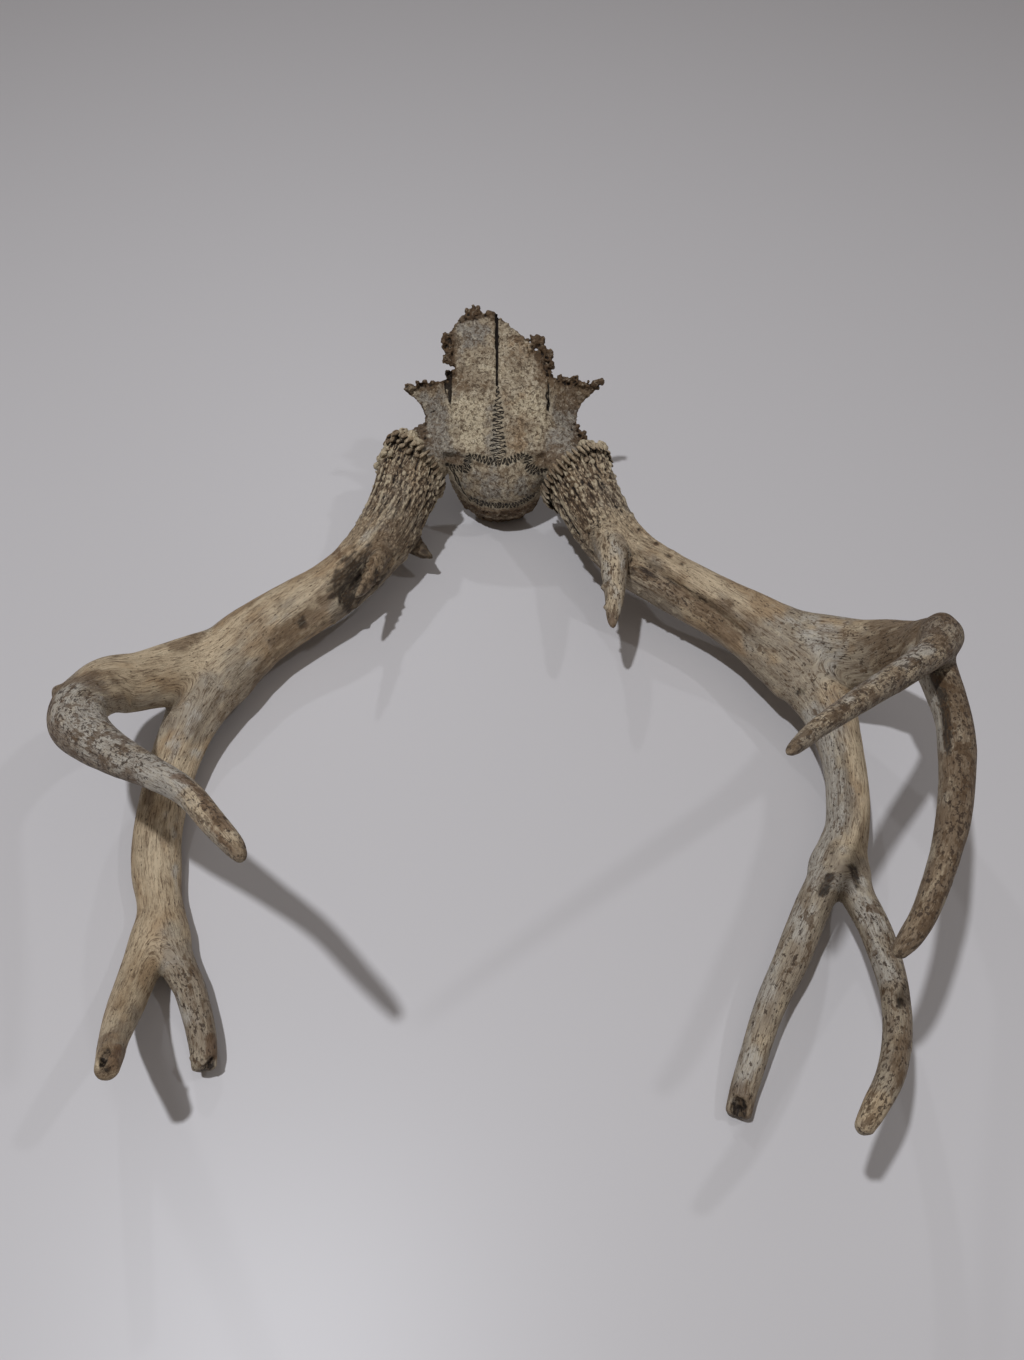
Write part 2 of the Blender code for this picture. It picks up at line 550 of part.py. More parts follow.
def main():
    for obj in list(bpy.data.objects):
        bpy.data.objects.remove(obj)
    parts = bpy.data.collections.new("deer antlers")
    cutters = bpy.data.collections.new("cutters")
    bpy.context.scene.collection.children.link(parts)
    bpy.context.scene.collection.children.link(cutters)
    skull_plate((0.46, 0.42, 0.36), parts, cutters)
    antler(
        "left",
        [LEFT_BEAM, LEFT_REAR, LEFT_FRONT, LEFT_OUTER_TINE, LEFT_INNER_TINE, LEFT_BROW, LEFT_SPUR],
        [LEFT_FURROWS["beam"], LEFT_FURROWS["rear"], LEFT_FURROWS["front"]],
        LEFT_KNOBS, ((-65.5, 191.5, 47), (-0.70, -0.70, -0.15), 1.0), LEFT_CUTS, LEFT_BREAKS,
        [(0.52, 0.43, 0.32), (0.50, 0.42, 0.31), (0.47, 0.41, 0.33)], parts, cutters,
    )
    antler(
        "right",
        [RIGHT_BEAM, RIGHT_REAR, RIGHT_FRONT, RIGHT_TINE_ONE, RIGHT_TINE_TWO, RIGHT_INNER_TINE,
         RIGHT_OUTER_TINE, RIGHT_BROW],
        [RIGHT_FURROWS["beam"], RIGHT_FURROWS["rear"], RIGHT_FURROWS["front"]],
        RIGHT_KNOBS, ((42, 181.5, 46.5), (0.58, -0.80, -0.15), 7.0), RIGHT_CUTS, RIGHT_BREAKS,
        [(0.50, 0.43, 0.33), (0.50, 0.42, 0.32), (0.44, 0.38, 0.31)], parts, cutters,
    )
    shift = Matrix.Translation((-RACK_MIDDLE[0] * MM, -RACK_MIDDLE[1] * MM, 0))
    for obj in parts.objects:
        obj.data.transform(shift)


main()
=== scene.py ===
# %% [markdown]
# # A pair of deer antlers on their skull plate
#
# This lesson dresses a rack of antlers: two beams with their tines, still grown onto a broken piece
# of skull. Bone and antler have no straight line and no flat colour, so nearly everything here is
# grown: branches are drawn as routes, fused into one skin, and then roughened along their grain.
# The frame below holds the plain solids. They say where every branch lies, and this script puts a
# finer skin in place of each of them.

import math

import bmesh
import bpy
import numpy as np
from mathutils import Matrix, Vector


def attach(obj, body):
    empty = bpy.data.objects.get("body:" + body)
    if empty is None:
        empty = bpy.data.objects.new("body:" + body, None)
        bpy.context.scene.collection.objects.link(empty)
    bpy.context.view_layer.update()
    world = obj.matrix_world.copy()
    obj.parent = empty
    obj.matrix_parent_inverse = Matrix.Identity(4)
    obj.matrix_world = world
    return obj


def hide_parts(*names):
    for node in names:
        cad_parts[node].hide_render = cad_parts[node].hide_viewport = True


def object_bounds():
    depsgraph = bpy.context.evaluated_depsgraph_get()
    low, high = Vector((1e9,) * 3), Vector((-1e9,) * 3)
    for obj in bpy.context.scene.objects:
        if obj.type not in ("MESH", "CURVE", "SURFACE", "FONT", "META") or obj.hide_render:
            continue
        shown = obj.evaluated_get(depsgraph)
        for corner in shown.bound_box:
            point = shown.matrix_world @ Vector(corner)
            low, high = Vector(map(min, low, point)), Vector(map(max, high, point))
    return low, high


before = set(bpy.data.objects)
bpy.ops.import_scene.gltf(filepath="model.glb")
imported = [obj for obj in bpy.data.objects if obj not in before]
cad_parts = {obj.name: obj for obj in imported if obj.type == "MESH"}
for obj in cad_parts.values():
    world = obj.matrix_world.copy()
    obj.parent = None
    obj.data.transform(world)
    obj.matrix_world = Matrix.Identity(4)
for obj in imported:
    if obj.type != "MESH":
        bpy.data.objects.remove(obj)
cad_low, cad_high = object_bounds()
MM = 0.001
print("solids to dress:", len(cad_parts))
print("frame box, mm:", [round(v / MM, 1) for v in (*cad_low, *cad_high)])

# %% [markdown]
# ## The camera
#
# The rack lies on a table and is seen from above its tines, looking back towards the skull. The
# routes below are drawn about a point near the rack's middle, so one small shift takes them to the
# frame's origin, which is on the table under the middle of the rack's box. The camera is placed
# first because everything is compared from there.

# %% Place the camera
RACK_MIDDLE = Vector((-1.7, 3.5, 0))        # where the frame's origin lies among the routes, in mm
CAMERA_HEIGHT = 524.0                       # over the table, in mm
CAMERA_BACK = 357.0                         # in front of the place that the routes are drawn about, in mm
CAMERA_PITCH = 37.0                         # degrees up from looking straight down
LENS = 27.0                                 # in mm
SENSOR_WIDTH = 36.0                         # in mm
NEAREST_SEEN = 0.02                         # in metres
BOX_MARGIN = 0.002                          # how far inside the frame's box everything is kept, in mm


def to_frame(x, y, z):
    """A place among the routes, in millimetres, as a place in the frame, in metres."""
    return (Vector((x, y, z)) - RACK_MIDDLE) * MM


def in_box(points):
    """Keep places among the routes inside the frame's box, so nothing is dressed larger than it is."""
    low = np.array(cad_low) / MM + RACK_MIDDLE + BOX_MARGIN
    high = np.array(cad_high) / MM + RACK_MIDDLE - BOX_MARGIN
    return np.clip(points, low, high)


camera = bpy.data.objects.new("camera", bpy.data.cameras.new("camera"))
bpy.context.scene.collection.objects.link(camera)
camera.location = to_frame(0, -CAMERA_BACK, CAMERA_HEIGHT)
camera.rotation_euler = (math.radians(CAMERA_PITCH), 0, 0)
camera.data.lens = LENS
camera.data.sensor_width = SENSOR_WIDTH
camera.data.clip_start = NEAREST_SEEN
bpy.context.scene.camera = camera
print("camera at", [round(v, 4) for v in camera.location])

# %% [markdown]
# ## Noise to work with
#
# Grain, pits and pearls all come from two kinds of noise: a smooth one, and one that scatters a dot
# in every cell of a grid. Both are computed here for thousands of points at once, because a mesh of
# this size is too slow to roughen one corner at a time. The random numbers come from the cell's own
# whole-number address, so they are the same each run.

# %% Smooth noise and scattered dots
MIX_X, MIX_Y, MIX_Z, MIX_SEED, MIX_AGAIN = 73856093, 19349663, 83492791, 2654435, 1274126177
LOW_32_BITS, LOW_16_BITS = 0xFFFFFFFF, 0xFFFF


def cell_random(cell, seed):
    """Three even random numbers from 0 to 1 for every whole-number cell."""
    mixed = (cell[:, 0] * MIX_X) ^ (cell[:, 1] * MIX_Y) ^ (cell[:, 2] * MIX_Z)
    mixed = (mixed ^ (seed * MIX_SEED)) & LOW_32_BITS
    numbers = np.empty((len(cell), 3))
    for k in range(3):
        mixed = ((mixed ^ (mixed >> 13)) * MIX_AGAIN) & LOW_32_BITS
        mixed = mixed ^ (mixed >> 16)
        numbers[:, k] = (mixed & LOW_16_BITS) / LOW_16_BITS
    return numbers


def soft_noise(points, seed=0):
    """Smooth noise from -1 to 1, with bumps about one unit across."""
    base = np.floor(points).astype(np.int64)
    part = points - base
    part = part * part * (3 - 2 * part)
    total = np.zeros(len(points))
    for corner in np.ndindex(2, 2, 2):
        weight = np.prod(np.where(corner, part, 1 - part), axis=1)
        total += weight * cell_random(base + np.array(corner), seed)[:, 0]
    return 2 * total - 1


def rough_noise(points, octaves, seed=0):
    """Smooth noise with finer and finer noise laid over it."""
    layers = [soft_noise(points * 2 ** k, seed + k) / 2 ** k for k in range(octaves)]
    return sum(layers) / (2 - 0.5 ** (octaves - 1))


def nearest_dot(points, seed=0):
    """Distance to the nearest of one random dot per cell, and that dot's own random number."""
    base = np.floor(points).astype(np.int64)
    best = np.full(len(points), 9.0)
    number = np.zeros(len(points))
    for step in np.ndindex(3, 3, 3):
        cell = base + np.array(step) - 1
        dot = cell_random(cell, seed)
        gap = ((cell + dot - points) ** 2).sum(1)
        closer = gap < best
        best[closer] = gap[closer]
        number[closer] = dot[closer, 1]
    return np.sqrt(best), number

# %% Rises, bells and angles
def step_up(value, low, high):
    """0 below low, 1 above high, and an easy rise between them."""
    t = np.clip((value - low) / (high - low), 0, 1)
    return t * t * (3 - 2 * t)


def bell(value, width):
    """1 at 0, falling off smoothly on both sides."""
    return np.exp(-(value / width) ** 2)


def turned_from(middle, angle):
    """How far an angle lies from a middle one, from -180 to 180 degrees."""
    return (angle - middle + 180) % 360 - 180

# %% [markdown]
# ## The routes of the branches
#
# Every branch is a line of given points. Each point has a place, a width, a height and a roll
# in degrees, so that the broad web before a fork can lean. Furrows are long hollows and ridges that
# run with a branch: an angle round the section, a spread, a depth and the share of the branch where
# they start and end. Angle 0 is the broad axis, 90 is the top and 180 the other side.

# %% The left antler's branches
LEFT_BEAM = [
    (-54, 203, 52, 44, 42, 0), (-66, 192, 47, 45, 43, 0), (-72, 173, 44, 43, 41, 0),
    (-77, 155, 41, 40, 39, 0), (-84, 135, 38, 39, 38, 0), (-93, 118, 35, 38, 37, 0),
    (-105, 101, 32, 37, 36, 0), (-118, 87.5, 30, 38, 35, 5), (-134, 76, 28, 40, 34, 10),
    (-149, 64, 27, 41, 33, 16), (-163, 50.5, 27, 42, 31, 22), (-173, 36, 27, 42, 29, 24),
    (-183, 20, 26, 42, 27, 20),
]
LEFT_REAR = [
    (-173, 36, 27, 42, 29, 24), (-182, 20, 26, 42, 27, 20), (-188, 5, 24, 37, 26, 15),
    (-193, -11, 21, 31, 25, 10), (-197, -27, 18, 29, 24, 5), (-199.5, -48, 15.5, 28, 23, 0),
    (-200, -80, 12, 27, 22, 0), (-196.5, -102, 10, 27, 21, 0), (-191.5, -119, 9.5, 24, 20, 0),
    (-188, -131, 9.5, 26, 20, 0), (-185, -146, 10.5, 26, 17, 0), (-183.5, -157, 11.5, 12, 11, 0),
]
LEFT_OUTER_TINE = [
    (-189, -128, 11, 20, 19, 0), (-191, -148, 13, 20, 19, 0), (-191, -165, 18, 19, 18, 0),
    (-188, -188, 33, 17, 16.5, 0), (-182, -207, 53, 13.5, 13.5, 0), (-176.5, -219, 67, 12, 12, 0),
    (-172.5, -228, 77.5, 10.5, 10.5, 0),
]
LEFT_INNER_TINE = [
    (-184, -130, 10.5, 18, 19, 0), (-177.5, -148, 11, 17, 18, 0), (-171, -160, 11, 16.5, 16.5, 0),
    (-165, -169, 11, 15.5, 15.5, 0), (-158, -184, 11.5, 14.5, 14, 0), (-153, -197, 12, 13.5, 13, 0),
    (-150.5, -208, 12, 12, 11, 0),
]
LEFT_FRONT = [
    (-158, 52, 27, 36, 27, 20), (-175, 34, 29, 39, 25, 30), (-191, 22, 34, 40, 22, 38),
    (-205, 9, 43, 37, 20, 42), (-215, -3, 53, 34, 20, 42), (-225, -15, 65, 34, 21, 40),
    (-227.5, -31, 78, 30, 22, 30), (-226.5, -48, 90, 28, 23, 15), (-220, -64, 99, 28, 22, 0),
    (-207.5, -79, 109, 25, 21, 0), (-185, -99, 124, 19.5, 17.5, 0), (-159, -120, 143, 14.5, 14, 0),
    (-133.5, -142.5, 163, 11.5, 11.5, 0), (-114, -166, 179, 10, 10, 0), (-102.5, -180, 188.5, 8, 8, 0),
    (-97.5, -187, 192.5, 5, 5, 0),
]
LEFT_BROW = [
    (-88, 132, 40, 15, 14, 0), (-86, 120, 42, 11.5, 13, 0), (-86, 104, 44, 9.5, 12, 0),
    (-89, 86, 47, 8, 10, 0), (-93, 70, 51, 5.5, 7, 0), (-96, 61, 54, 2, 2, 0),
]
LEFT_SPUR = [
    (-76, 142, 30, 18, 14, 0), (-69, 137, 25, 13, 11, 0), (-61, 131, 22, 8, 8, 0),
    (-55, 127, 20, 3, 3, 0),
]
LEFT_FURROWS = {
    "beam": [(152, 23, 7.2, 0.415, 0.60), (104, 8, -1.6, 0.36, 0.62), (133, 18, 2.2, 0.55, 0.80),
             (165, 10, -1.5, 0.60, 1.0), (70, 9, -1.0, 0.10, 0.50), (88, 8, 1.0, 0.05, 0.45),
             (30, 9, 0.9, 0.05, 0.55), (47, 3, -1.1, 0.14, 0.42)],
    "rear": [(175, 9, -1.5, 0.0, 0.45), (140, 14, 1.2, 0.0, 0.5), (60, 12, 0.8, 0.2, 0.9)],
    "front": [(200, 12, -1.4, 0.35, 0.75), (120, 22, 1.5, 0.25, 0.55)],
}
LEFT_KNOBS = [
    (-76, 121, 31, 5.0), (-240, -38, 90, 2.5), (-60, 160, 38, 3.0), (-66, 148, 36, 3.0),
]
LEFT_SPINES = {         # by branch: (share of it, angle, height, radius)
    "beam": [
        (0.135, 40, 2.6, 1.3), (0.375, 36, 1.8, 1.0), (0.20, 178, 1.6, 1.6), (0.25, 172, 1.8, 1.4),
        (0.30, 196, 1.5, 1.5), (0.50, 192, 2.2, 1.6), (0.57, 190, 2.4, 1.4), (0.63, 195, 1.6, 1.4),
        (0.16, 20, 1.4, 1.3), (0.22, 28, 1.2, 1.2), (0.28, 45, 1.0, 1.2),
    ],
    "brow": [
        (0.35, 190, 1.6, 1.5), (0.55, 178, 1.9, 1.4), (0.72, 186, 1.4, 1.2), (0.45, 20, 1.3, 1.3),
        (0.63, 200, 2.2, 1.6), (0.82, 172, 1.6, 1.2), (0.28, 168, 2.0, 1.8), (0.56, 30, 1.8, 1.5),
        (0.70, 18, 1.6, 1.3), (0.38, 95, 1.4, 1.6), (0.62, 100, 1.2, 1.5),
    ],
    "outer": [
        (0.91, 150, 1.4, 1.4), (0.94, 85, 1.2, 1.3),
    ],
    "inner": [
        (0.95, 40, 1.5, 1.2),
    ],
}

# %% The right antler's branches
RIGHT_BEAM = [
    (33, 195, 52, 44, 42, 0), (43, 182, 47, 45, 43, 0), (49, 164, 46, 43, 41, 0),
    (57, 144, 44, 40, 39, 0), (66, 124, 42, 38, 37, 0), (79, 106, 40, 36, 36, 0),
    (96, 93, 38, 36, 35, 0), (114, 81, 36, 37, 35, -6), (134, 67, 35, 39, 33, -14),
    (152, 52, 35, 43, 31, -22), (168, 35, 35, 46, 29, -24), (178, 17, 35, 44, 27, -18),
]
RIGHT_REAR = [
    (158, 45, 35, 42, 29, -22), (170, 31, 35, 44, 27, -20), (179, 14, 34, 42, 26, -12),
    (186, -8, 33, 33, 25, -5), (189, -30, 31, 26, 24, 0), (189.5, -50, 29, 23.5, 23, 0),
    (187.5, -69, 28, 23.5, 22, 0), (184, -85, 27, 23.5, 21, 0), (179, -98, 26, 26.5, 20, 0),
    (175, -110, 25, 30, 19, 0), (173, -121, 25, 16, 13, 0),
]
RIGHT_INNER_TINE = [
    (178, -96, 26, 20, 20, 0), (169, -112, 25.5, 19, 19, 0), (160, -126, 25, 18.5, 18, 0),
    (150.5, -143, 22.5, 18, 17, 0), (142, -159, 20, 17, 16.5, 0), (131, -177, 17.5, 15, 15, 0),
    (124, -191, 15, 14, 14, 0), (117.5, -206, 11.5, 13.5, 14, 0), (112.5, -218, 8, 13, 14, 0),
    (109, -228, 6, 12.5, 14, 0),
]
RIGHT_OUTER_TINE = [
    (180, -98, 26, 20, 20, 0), (181, -114, 27, 18.5, 18.5, 0), (181, -128, 31, 17, 17, 0),
    (182, -148, 40, 16, 16, 0), (180.5, -170, 50, 14.5, 15, 0), (177, -190, 60, 13, 13.5, 0),
    (169, -213, 72, 12.5, 12.5, 0), (159, -232, 81, 11.5, 12, 0), (148, -246, 86, 10, 10, 0),
    (141, -254.5, 88.5, 7.5, 7.5, 0),
]
RIGHT_FRONT = [
    (150, 52, 35, 38, 26, -24), (168, 37, 38, 43, 25, -32), (187, 25.5, 46, 43, 23, -42),
    (202, 15, 57, 39, 22, -48), (214, 7, 71, 33, 23, -48), (222, -3, 86, 28, 24, -40),
    (226, -9, 98, 25, 24, -20), (228, -12, 107, 18, 17, 0),
]
RIGHT_TINE_ONE = [
    (226, -8, 100, 23, 23, 0), (227, -14, 108, 22, 21, 0), (218, -29, 118, 19, 18, 0),
    (204, -46, 130, 15.5, 15, 0), (172, -78, 153, 12.8, 12.5, 0), (144, -107, 176, 10.5, 10, 0),
    (119, -134, 198, 8, 8, 0), (104, -152, 212, 5.5, 5.5, 0), (99, -158, 217, 3, 3, 0),
]
RIGHT_TINE_TWO = [
    (223, -9, 92, 23, 24, 0), (223, -26, 98, 20, 22, 0), (221, -46, 104, 19, 20, 0),
    (218, -69, 110, 17.5, 18, 0), (212, -91, 116, 17.5, 17.5, 0), (204, -114, 121, 15.5, 15.5, 0),
    (195, -135, 127, 14.5, 14.5, 0), (186.5, -152, 130, 12.5, 13, 0), (177.5, -168, 132, 11.5, 12, 0),
    (169, -182, 132, 10.5, 11, 0), (161, -192, 132, 9.5, 9.5, 0), (155, -198, 131, 6.5, 6.5, 0),
]
RIGHT_BROW = [
    (62, 124, 50, 20, 17, 0), (63, 106, 54, 19, 15, 0), (64, 84, 55, 16, 13, 0),
    (63, 62, 54, 12, 10, 0), (61, 45, 53, 7, 6, 0), (61, 39, 52, 3, 3, 0),
]
RIGHT_FURROWS = {
    "beam": [(48, 17, 3.8, 0.36, 0.95), (58, 5, 1.7, 0.42, 0.95), (78, 9, -1.8, 0.32, 0.95),
             (105, 9, 0.9, 0.05, 0.6), (130, 8, -1.2, 0.08, 0.55), (20, 8, -1.0, 0.1, 0.6),
             (60, 8, -1.0, 0.05, 0.3)],
    "rear": [(90, 16, 1.4, 0.2, 0.95), (60, 9, -1.0, 0.1, 0.9)],
    "front": [(70, 20, 1.2, 0.1, 0.6), (25, 9, -1.2, 0.0, 0.6), (110, 9, -0.9, 0.0, 0.7)],
}
RIGHT_KNOBS = [(149, 67, 48, 3.2), (229, -6, 107, 5.0)]
RIGHT_SPINES = {
    "beam": [
        (0.17, 8, 1.8, 1.5), (0.22, 355, 2.0, 1.5), (0.28, 2, 2.4, 1.6), (0.33, 358, 1.8, 1.4),
        (0.455, 0, 2.0, 1.4), (0.50, 356, 2.4, 1.5), (0.56, 2, 2.0, 1.4), (0.61, 0, 1.4, 1.3),
        (0.20, 120, 1.5, 1.5), (0.27, 135, 1.4, 1.4), (0.34, 128, 1.6, 1.6), (0.39, 120, 1.2, 1.4),
        (0.52, 125, 0.9, 1.4), (0.31, 150, 1.4, 1.2), (0.24, 160, 1.4, 1.2),
    ],
    "brow": [
        (0.66, 5, 2.2, 1.5), (0.84, 2, 1.8, 1.2), (0.52, 8, 1.0, 1.2),
    ],
}

# %% [markdown]
# ## Reading a place on a branch
#
# The grain of antler runs with the branch and bends with it. So each branch is sampled evenly along
# its route, and any point near it can then be told in the branch's own terms: how far across, how
# far along, at what angle round the section, and how deep under or above the skin.

# %% Sample a branch
SPACING = 1.5           # distance between the samples along a branch, in mm
FAR = 99.0              # the distance told where nothing is near, in mm
CLOSE = 15.0            # how far outside a branch's box its own terms are still worked out, in mm
TIP_BLUNTNESS = 2.5     # how much shorter than a half ball a branch's end is


def unit(vectors):
    return vectors / np.linalg.norm(vectors, axis=-1, keepdims=True)


def smooth_route(stations, steps=12):
    """Catmull-Rom curve through rows of numbers, with this many steps from row to row."""
    pts = np.array(stations, dtype=float)
    padded = np.vstack([2 * pts[0] - pts[1], pts, 2 * pts[-1] - pts[-2]])
    out = []
    for a, b, c, d in zip(padded, padded[1:], padded[2:], padded[3:]):
        for t in np.arange(steps) / steps:
            out.append(0.5 * (2 * b + (c - a) * t + (2 * a - 5 * b + 4 * c - d) * t ** 2
                              + (3 * b - a - 3 * c + d) * t ** 3))
    out.append(pts[-1])
    return np.array(out)


def grow_branch(name, stations, furrows=(), parent=None):
    """A branch as even samples; its lengths go on from where it leaves its parent."""
    fine = smooth_route(stations)
    lengths = np.r_[0, np.cumsum(np.linalg.norm(np.diff(fine[:, :3], axis=0), axis=1))]
    along = np.linspace(0, lengths[-1], int(lengths[-1] / SPACING) + 2)
    even = np.column_stack([np.interp(along, lengths, column) for column in fine.T])
    centre = even[:, :3]
    tangent = unit(np.gradient(centre, axis=0))
    side = unit(np.cross(tangent, (0, 0, 1)))
    up = np.cross(side, tangent)
    roll = np.radians(even[:, 5])[:, None]
    begins = 0.0
    if parent is not None:
        near = np.linalg.norm(parent["centre"] - centre[0], axis=1).argmin()
        begins = parent["along"][near]
    return {
        "name": name, "centre": centre, "tangent": tangent, "half": even[:, 3:5] / 2,
        "broad": side * np.cos(roll) + up * np.sin(roll),
        "narrow": up * np.cos(roll) - side * np.sin(roll),
        "along": along + begins, "furrows": furrows, "first": parent is None,
    }


def drawn_in(furrows, angle, share):
    """How deep the furrows make the skin, for each angle and share of the way along."""
    depth = np.zeros(len(angle))
    for middle, spread, deepest, start, end in furrows:
        inside = (share > start) & (share < end)
        away = turned_from(middle, angle)
        fade = np.sqrt(np.abs(np.sin(np.pi * np.clip((share - start) / (end - start), 0, 1))))
        depth += inside * deepest * fade * bell(away, spread)
    return depth

# %% Tell points in a branch's own terms
def on_branch(branch, points):
    """Points in a branch's own terms, one row each: x, y, along, share, angle, depth over the skin."""
    centre = branch["centre"]
    told = np.zeros((len(points), 6))
    told[:, 5] = FAR
    reach = branch["half"].max() + CLOSE
    close = np.all((points > centre.min(0) - reach) & (points < centre.max(0) + reach), axis=1)
    p = points[close]
    if len(p) == 0:
        return told
    squared = (centre ** 2).sum(1) - 2 * p @ centre.T
    i = squared.argmin(1)
    step = ((p - centre[i]) * branch["tangent"][i]).sum(1) / (branch["along"][1] - branch["along"][0])
    u = np.clip(i + step, 0, len(centre) - 1)
    low = np.minimum(u.astype(int), len(centre) - 2)
    part = (u - low)[:, None]

    def between(values):
        return values[low] * (1 - part) + values[low + 1] * part

    offset = p - between(centre)
    x = (offset * between(branch["broad"])).sum(1)
    y = (offset * between(branch["narrow"])).sum(1)
    beyond = (offset * between(branch["tangent"])).sum(1) * TIP_BLUNTNESS
    half = between(branch["half"])
    turn = np.arctan2(y / half[:, 1], x / half[:, 0])
    radius = np.hypot(half[:, 0] * np.cos(turn), half[:, 1] * np.sin(turn))
    share = u / (len(centre) - 1)
    angle = np.degrees(turn) % 360
    radius = radius - drawn_in(branch["furrows"], angle, share)
    depth = np.sqrt(x ** 2 + y ** 2 + beyond ** 2) - radius
    along = between(branch["along"][:, None])[:, 0]
    told[close] = np.column_stack([x, y, along, share, angle, depth])
    return told

# %% [markdown]
# ## One skin over many branches
#
# Where branches meet, real antler has no crease: the skin flows from one to the next, and webs out
# in the crotch of a fork. Adding up soft versions of the branches gives that. The mesh is first
# fused roughly with a voxel remesh, then every corner slides along its own normal until it lies on
# the soft sum.

# %% The soft sum of the branches
WEB = 2.2               # how widely the skin webs out where branches meet, in mm


def skin_depth(points, branches, knobs):
    """How far points lie over the shared skin, and each branch's share in it."""
    told = [on_branch(branch, points) for branch in branches]
    pulls = []
    for branch, rows in zip(branches, told):
        fade = 1.0 if branch["first"] else step_up(rows[:, 2] - branch["along"][0], -2, 14)
        pulls.append(fade * np.exp(-rows[:, 5] / WEB) + 1e-30)
    total = sum(pulls)
    for x, y, z, radius in knobs:
        gap = np.linalg.norm((points - (x, y, z)) / (1, 1, 1.3), axis=1) - radius
        total = total + np.exp(-np.minimum(gap, 50) / (0.6 * WEB))
    return -WEB * np.log(total), told, [pull / sum(pulls) for pull in pulls]

# %% Helpers that move a mesh to numbers and back
def triples(data, field):
    """A field of three numbers, one row for each item."""
    flat = np.empty(len(data) * 3, np.float32)
    data.foreach_get(field, flat)
    return flat.reshape(-1, 3).astype(float)


def corners(mesh):
    return triples(mesh.vertices, "co")


def outward(mesh):
    return triples(mesh.vertex_normals, "vector")


def move_corners(mesh, points):
    mesh.vertices.foreach_set("co", points.astype(np.float32).ravel())
    mesh.update()


def neighbour_mean(mesh, values, rounds):
    """Let every corner's values drift half way to the mean of its neighbours', round after round."""
    edges = np.empty(len(mesh.edges) * 2, np.int32)
    mesh.edges.foreach_get("vertices", edges)
    one, two = edges.reshape(-1, 2).T
    count = np.bincount(np.r_[one, two], minlength=len(values))
    for _ in range(rounds):
        mean = np.empty_like(values)
        for k in range(values.shape[1]):
            mean[:, k] = np.bincount(one, values[two, k], len(values))
            mean[:, k] += np.bincount(two, values[one, k], len(values))
        values = (values + mean / count[:, None]) / 2
    return values


def hollowness(mesh, points, rounds):
    """How far each corner lies below the mean of the skin round it."""
    return ((neighbour_mean(mesh, points, rounds) - points) * outward(mesh)).sum(1)


def store(mesh, name, kind, values):
    """Keep values on the corners of a mesh, as an attribute that a shader can read."""
    attribute = mesh.attributes.new(name, kind, "POINT")
    field = "color" if kind == "FLOAT_COLOR" else "vector"
    attribute.data.foreach_set(field, values.astype(np.float32).ravel())

# %% Helpers that make and fuse meshes
def as_mesh(bm, name):
    """Turn what was drawn into a mesh, and let the drawing go."""
    mesh = bpy.data.meshes.new(name)
    bm.to_mesh(mesh)
    bm.free()
    return mesh


def new_object(name, mesh):
    obj = bpy.data.objects.new(name, mesh)
    bpy.context.scene.collection.objects.link(obj)
    return obj


def worked_in(obj, *cutters):
    """The object's mesh with its modifiers worked in; the object and its cutters are removed."""
    graph = bpy.context.evaluated_depsgraph_get()
    mesh = bpy.data.meshes.new_from_object(obj.evaluated_get(graph), depsgraph=graph)
    for thing in (obj, *cutters):
        bpy.data.objects.remove(thing)
    return mesh


def fused(mesh, voxel):
    """One closed skin round everything in a mesh."""
    obj = new_object("fuse", mesh)
    remesh = obj.modifiers.new("fuse", "REMESH")
    remesh.mode = "VOXEL"
    remesh.voxel_size = voxel
    return worked_in(obj)


def placed(centre, axis=(0, 0, 1)):
    """The place of something at a centre, with its upright turned to an axis."""
    turn = Vector((0, 0, 1)).rotation_difference(Vector(axis))
    return Matrix.Translation(centre) @ turn.to_matrix().to_4x4()


def ball(bm, place, radii, detail=3):
    """Draw a ball at a place, stretched to its three radii."""
    matrix = place @ Matrix.Diagonal((*radii, 1))
    bmesh.ops.create_icosphere(bm, subdivisions=detail, radius=1, matrix=matrix)

# %% [markdown]
# ## The pearls of the burr
#
# Where an antler meets the skull it swells into the burr, a crown of pearls like knuckles. They
# repeat round a ring with uneven sizes, which is a job for Geometry Nodes: a circle gives the
# places, every place gets one stretched ball, and a seed makes each one a little different. Pearls
# that are sunk in the beam are fused with it later on. The crown's own pearls stay free of each
# other, as a piece beside the antler, because fusing would fill the dark gaps between them.

# %% A helper that adds a node with its inputs
def plug(tree, value, socket):
    """Set a socket to a number or colour, or link it to another socket."""
    if isinstance(value, bpy.types.NodeSocket):
        tree.links.new(value, socket)
    else:
        socket.default_value = value


def add_node(tree, kind, given=(), **settings):
    """A node with its settings, and what is given to its input sockets by name or number."""
    node = tree.nodes.new(kind)
    for key, value in settings.items():
        setattr(node, key, value)
    for key, value in dict(given).items():
        plug(tree, value, node.inputs[key])
    return node

# %% A node tree that sets pearls round a ring
PEARL_INPUTS = [
    ("Count", "NodeSocketInt"), ("Ring Radius", "NodeSocketFloat"), ("Pearl Radius", "NodeSocketFloat"),
    ("Pearl Length", "NodeSocketFloat"), ("Scatter", "NodeSocketFloat"), ("Tilt", "NodeSocketFloat"),
    ("Seed", "NodeSocketInt"), ("Finish", "NodeSocketMaterial"),
]
SMALLEST_PEARL = (0.8, 0.7, 0.6)        # shares of the given radius, radius and length
LARGEST_PEARL = (1.3, 1.2, 1.15)


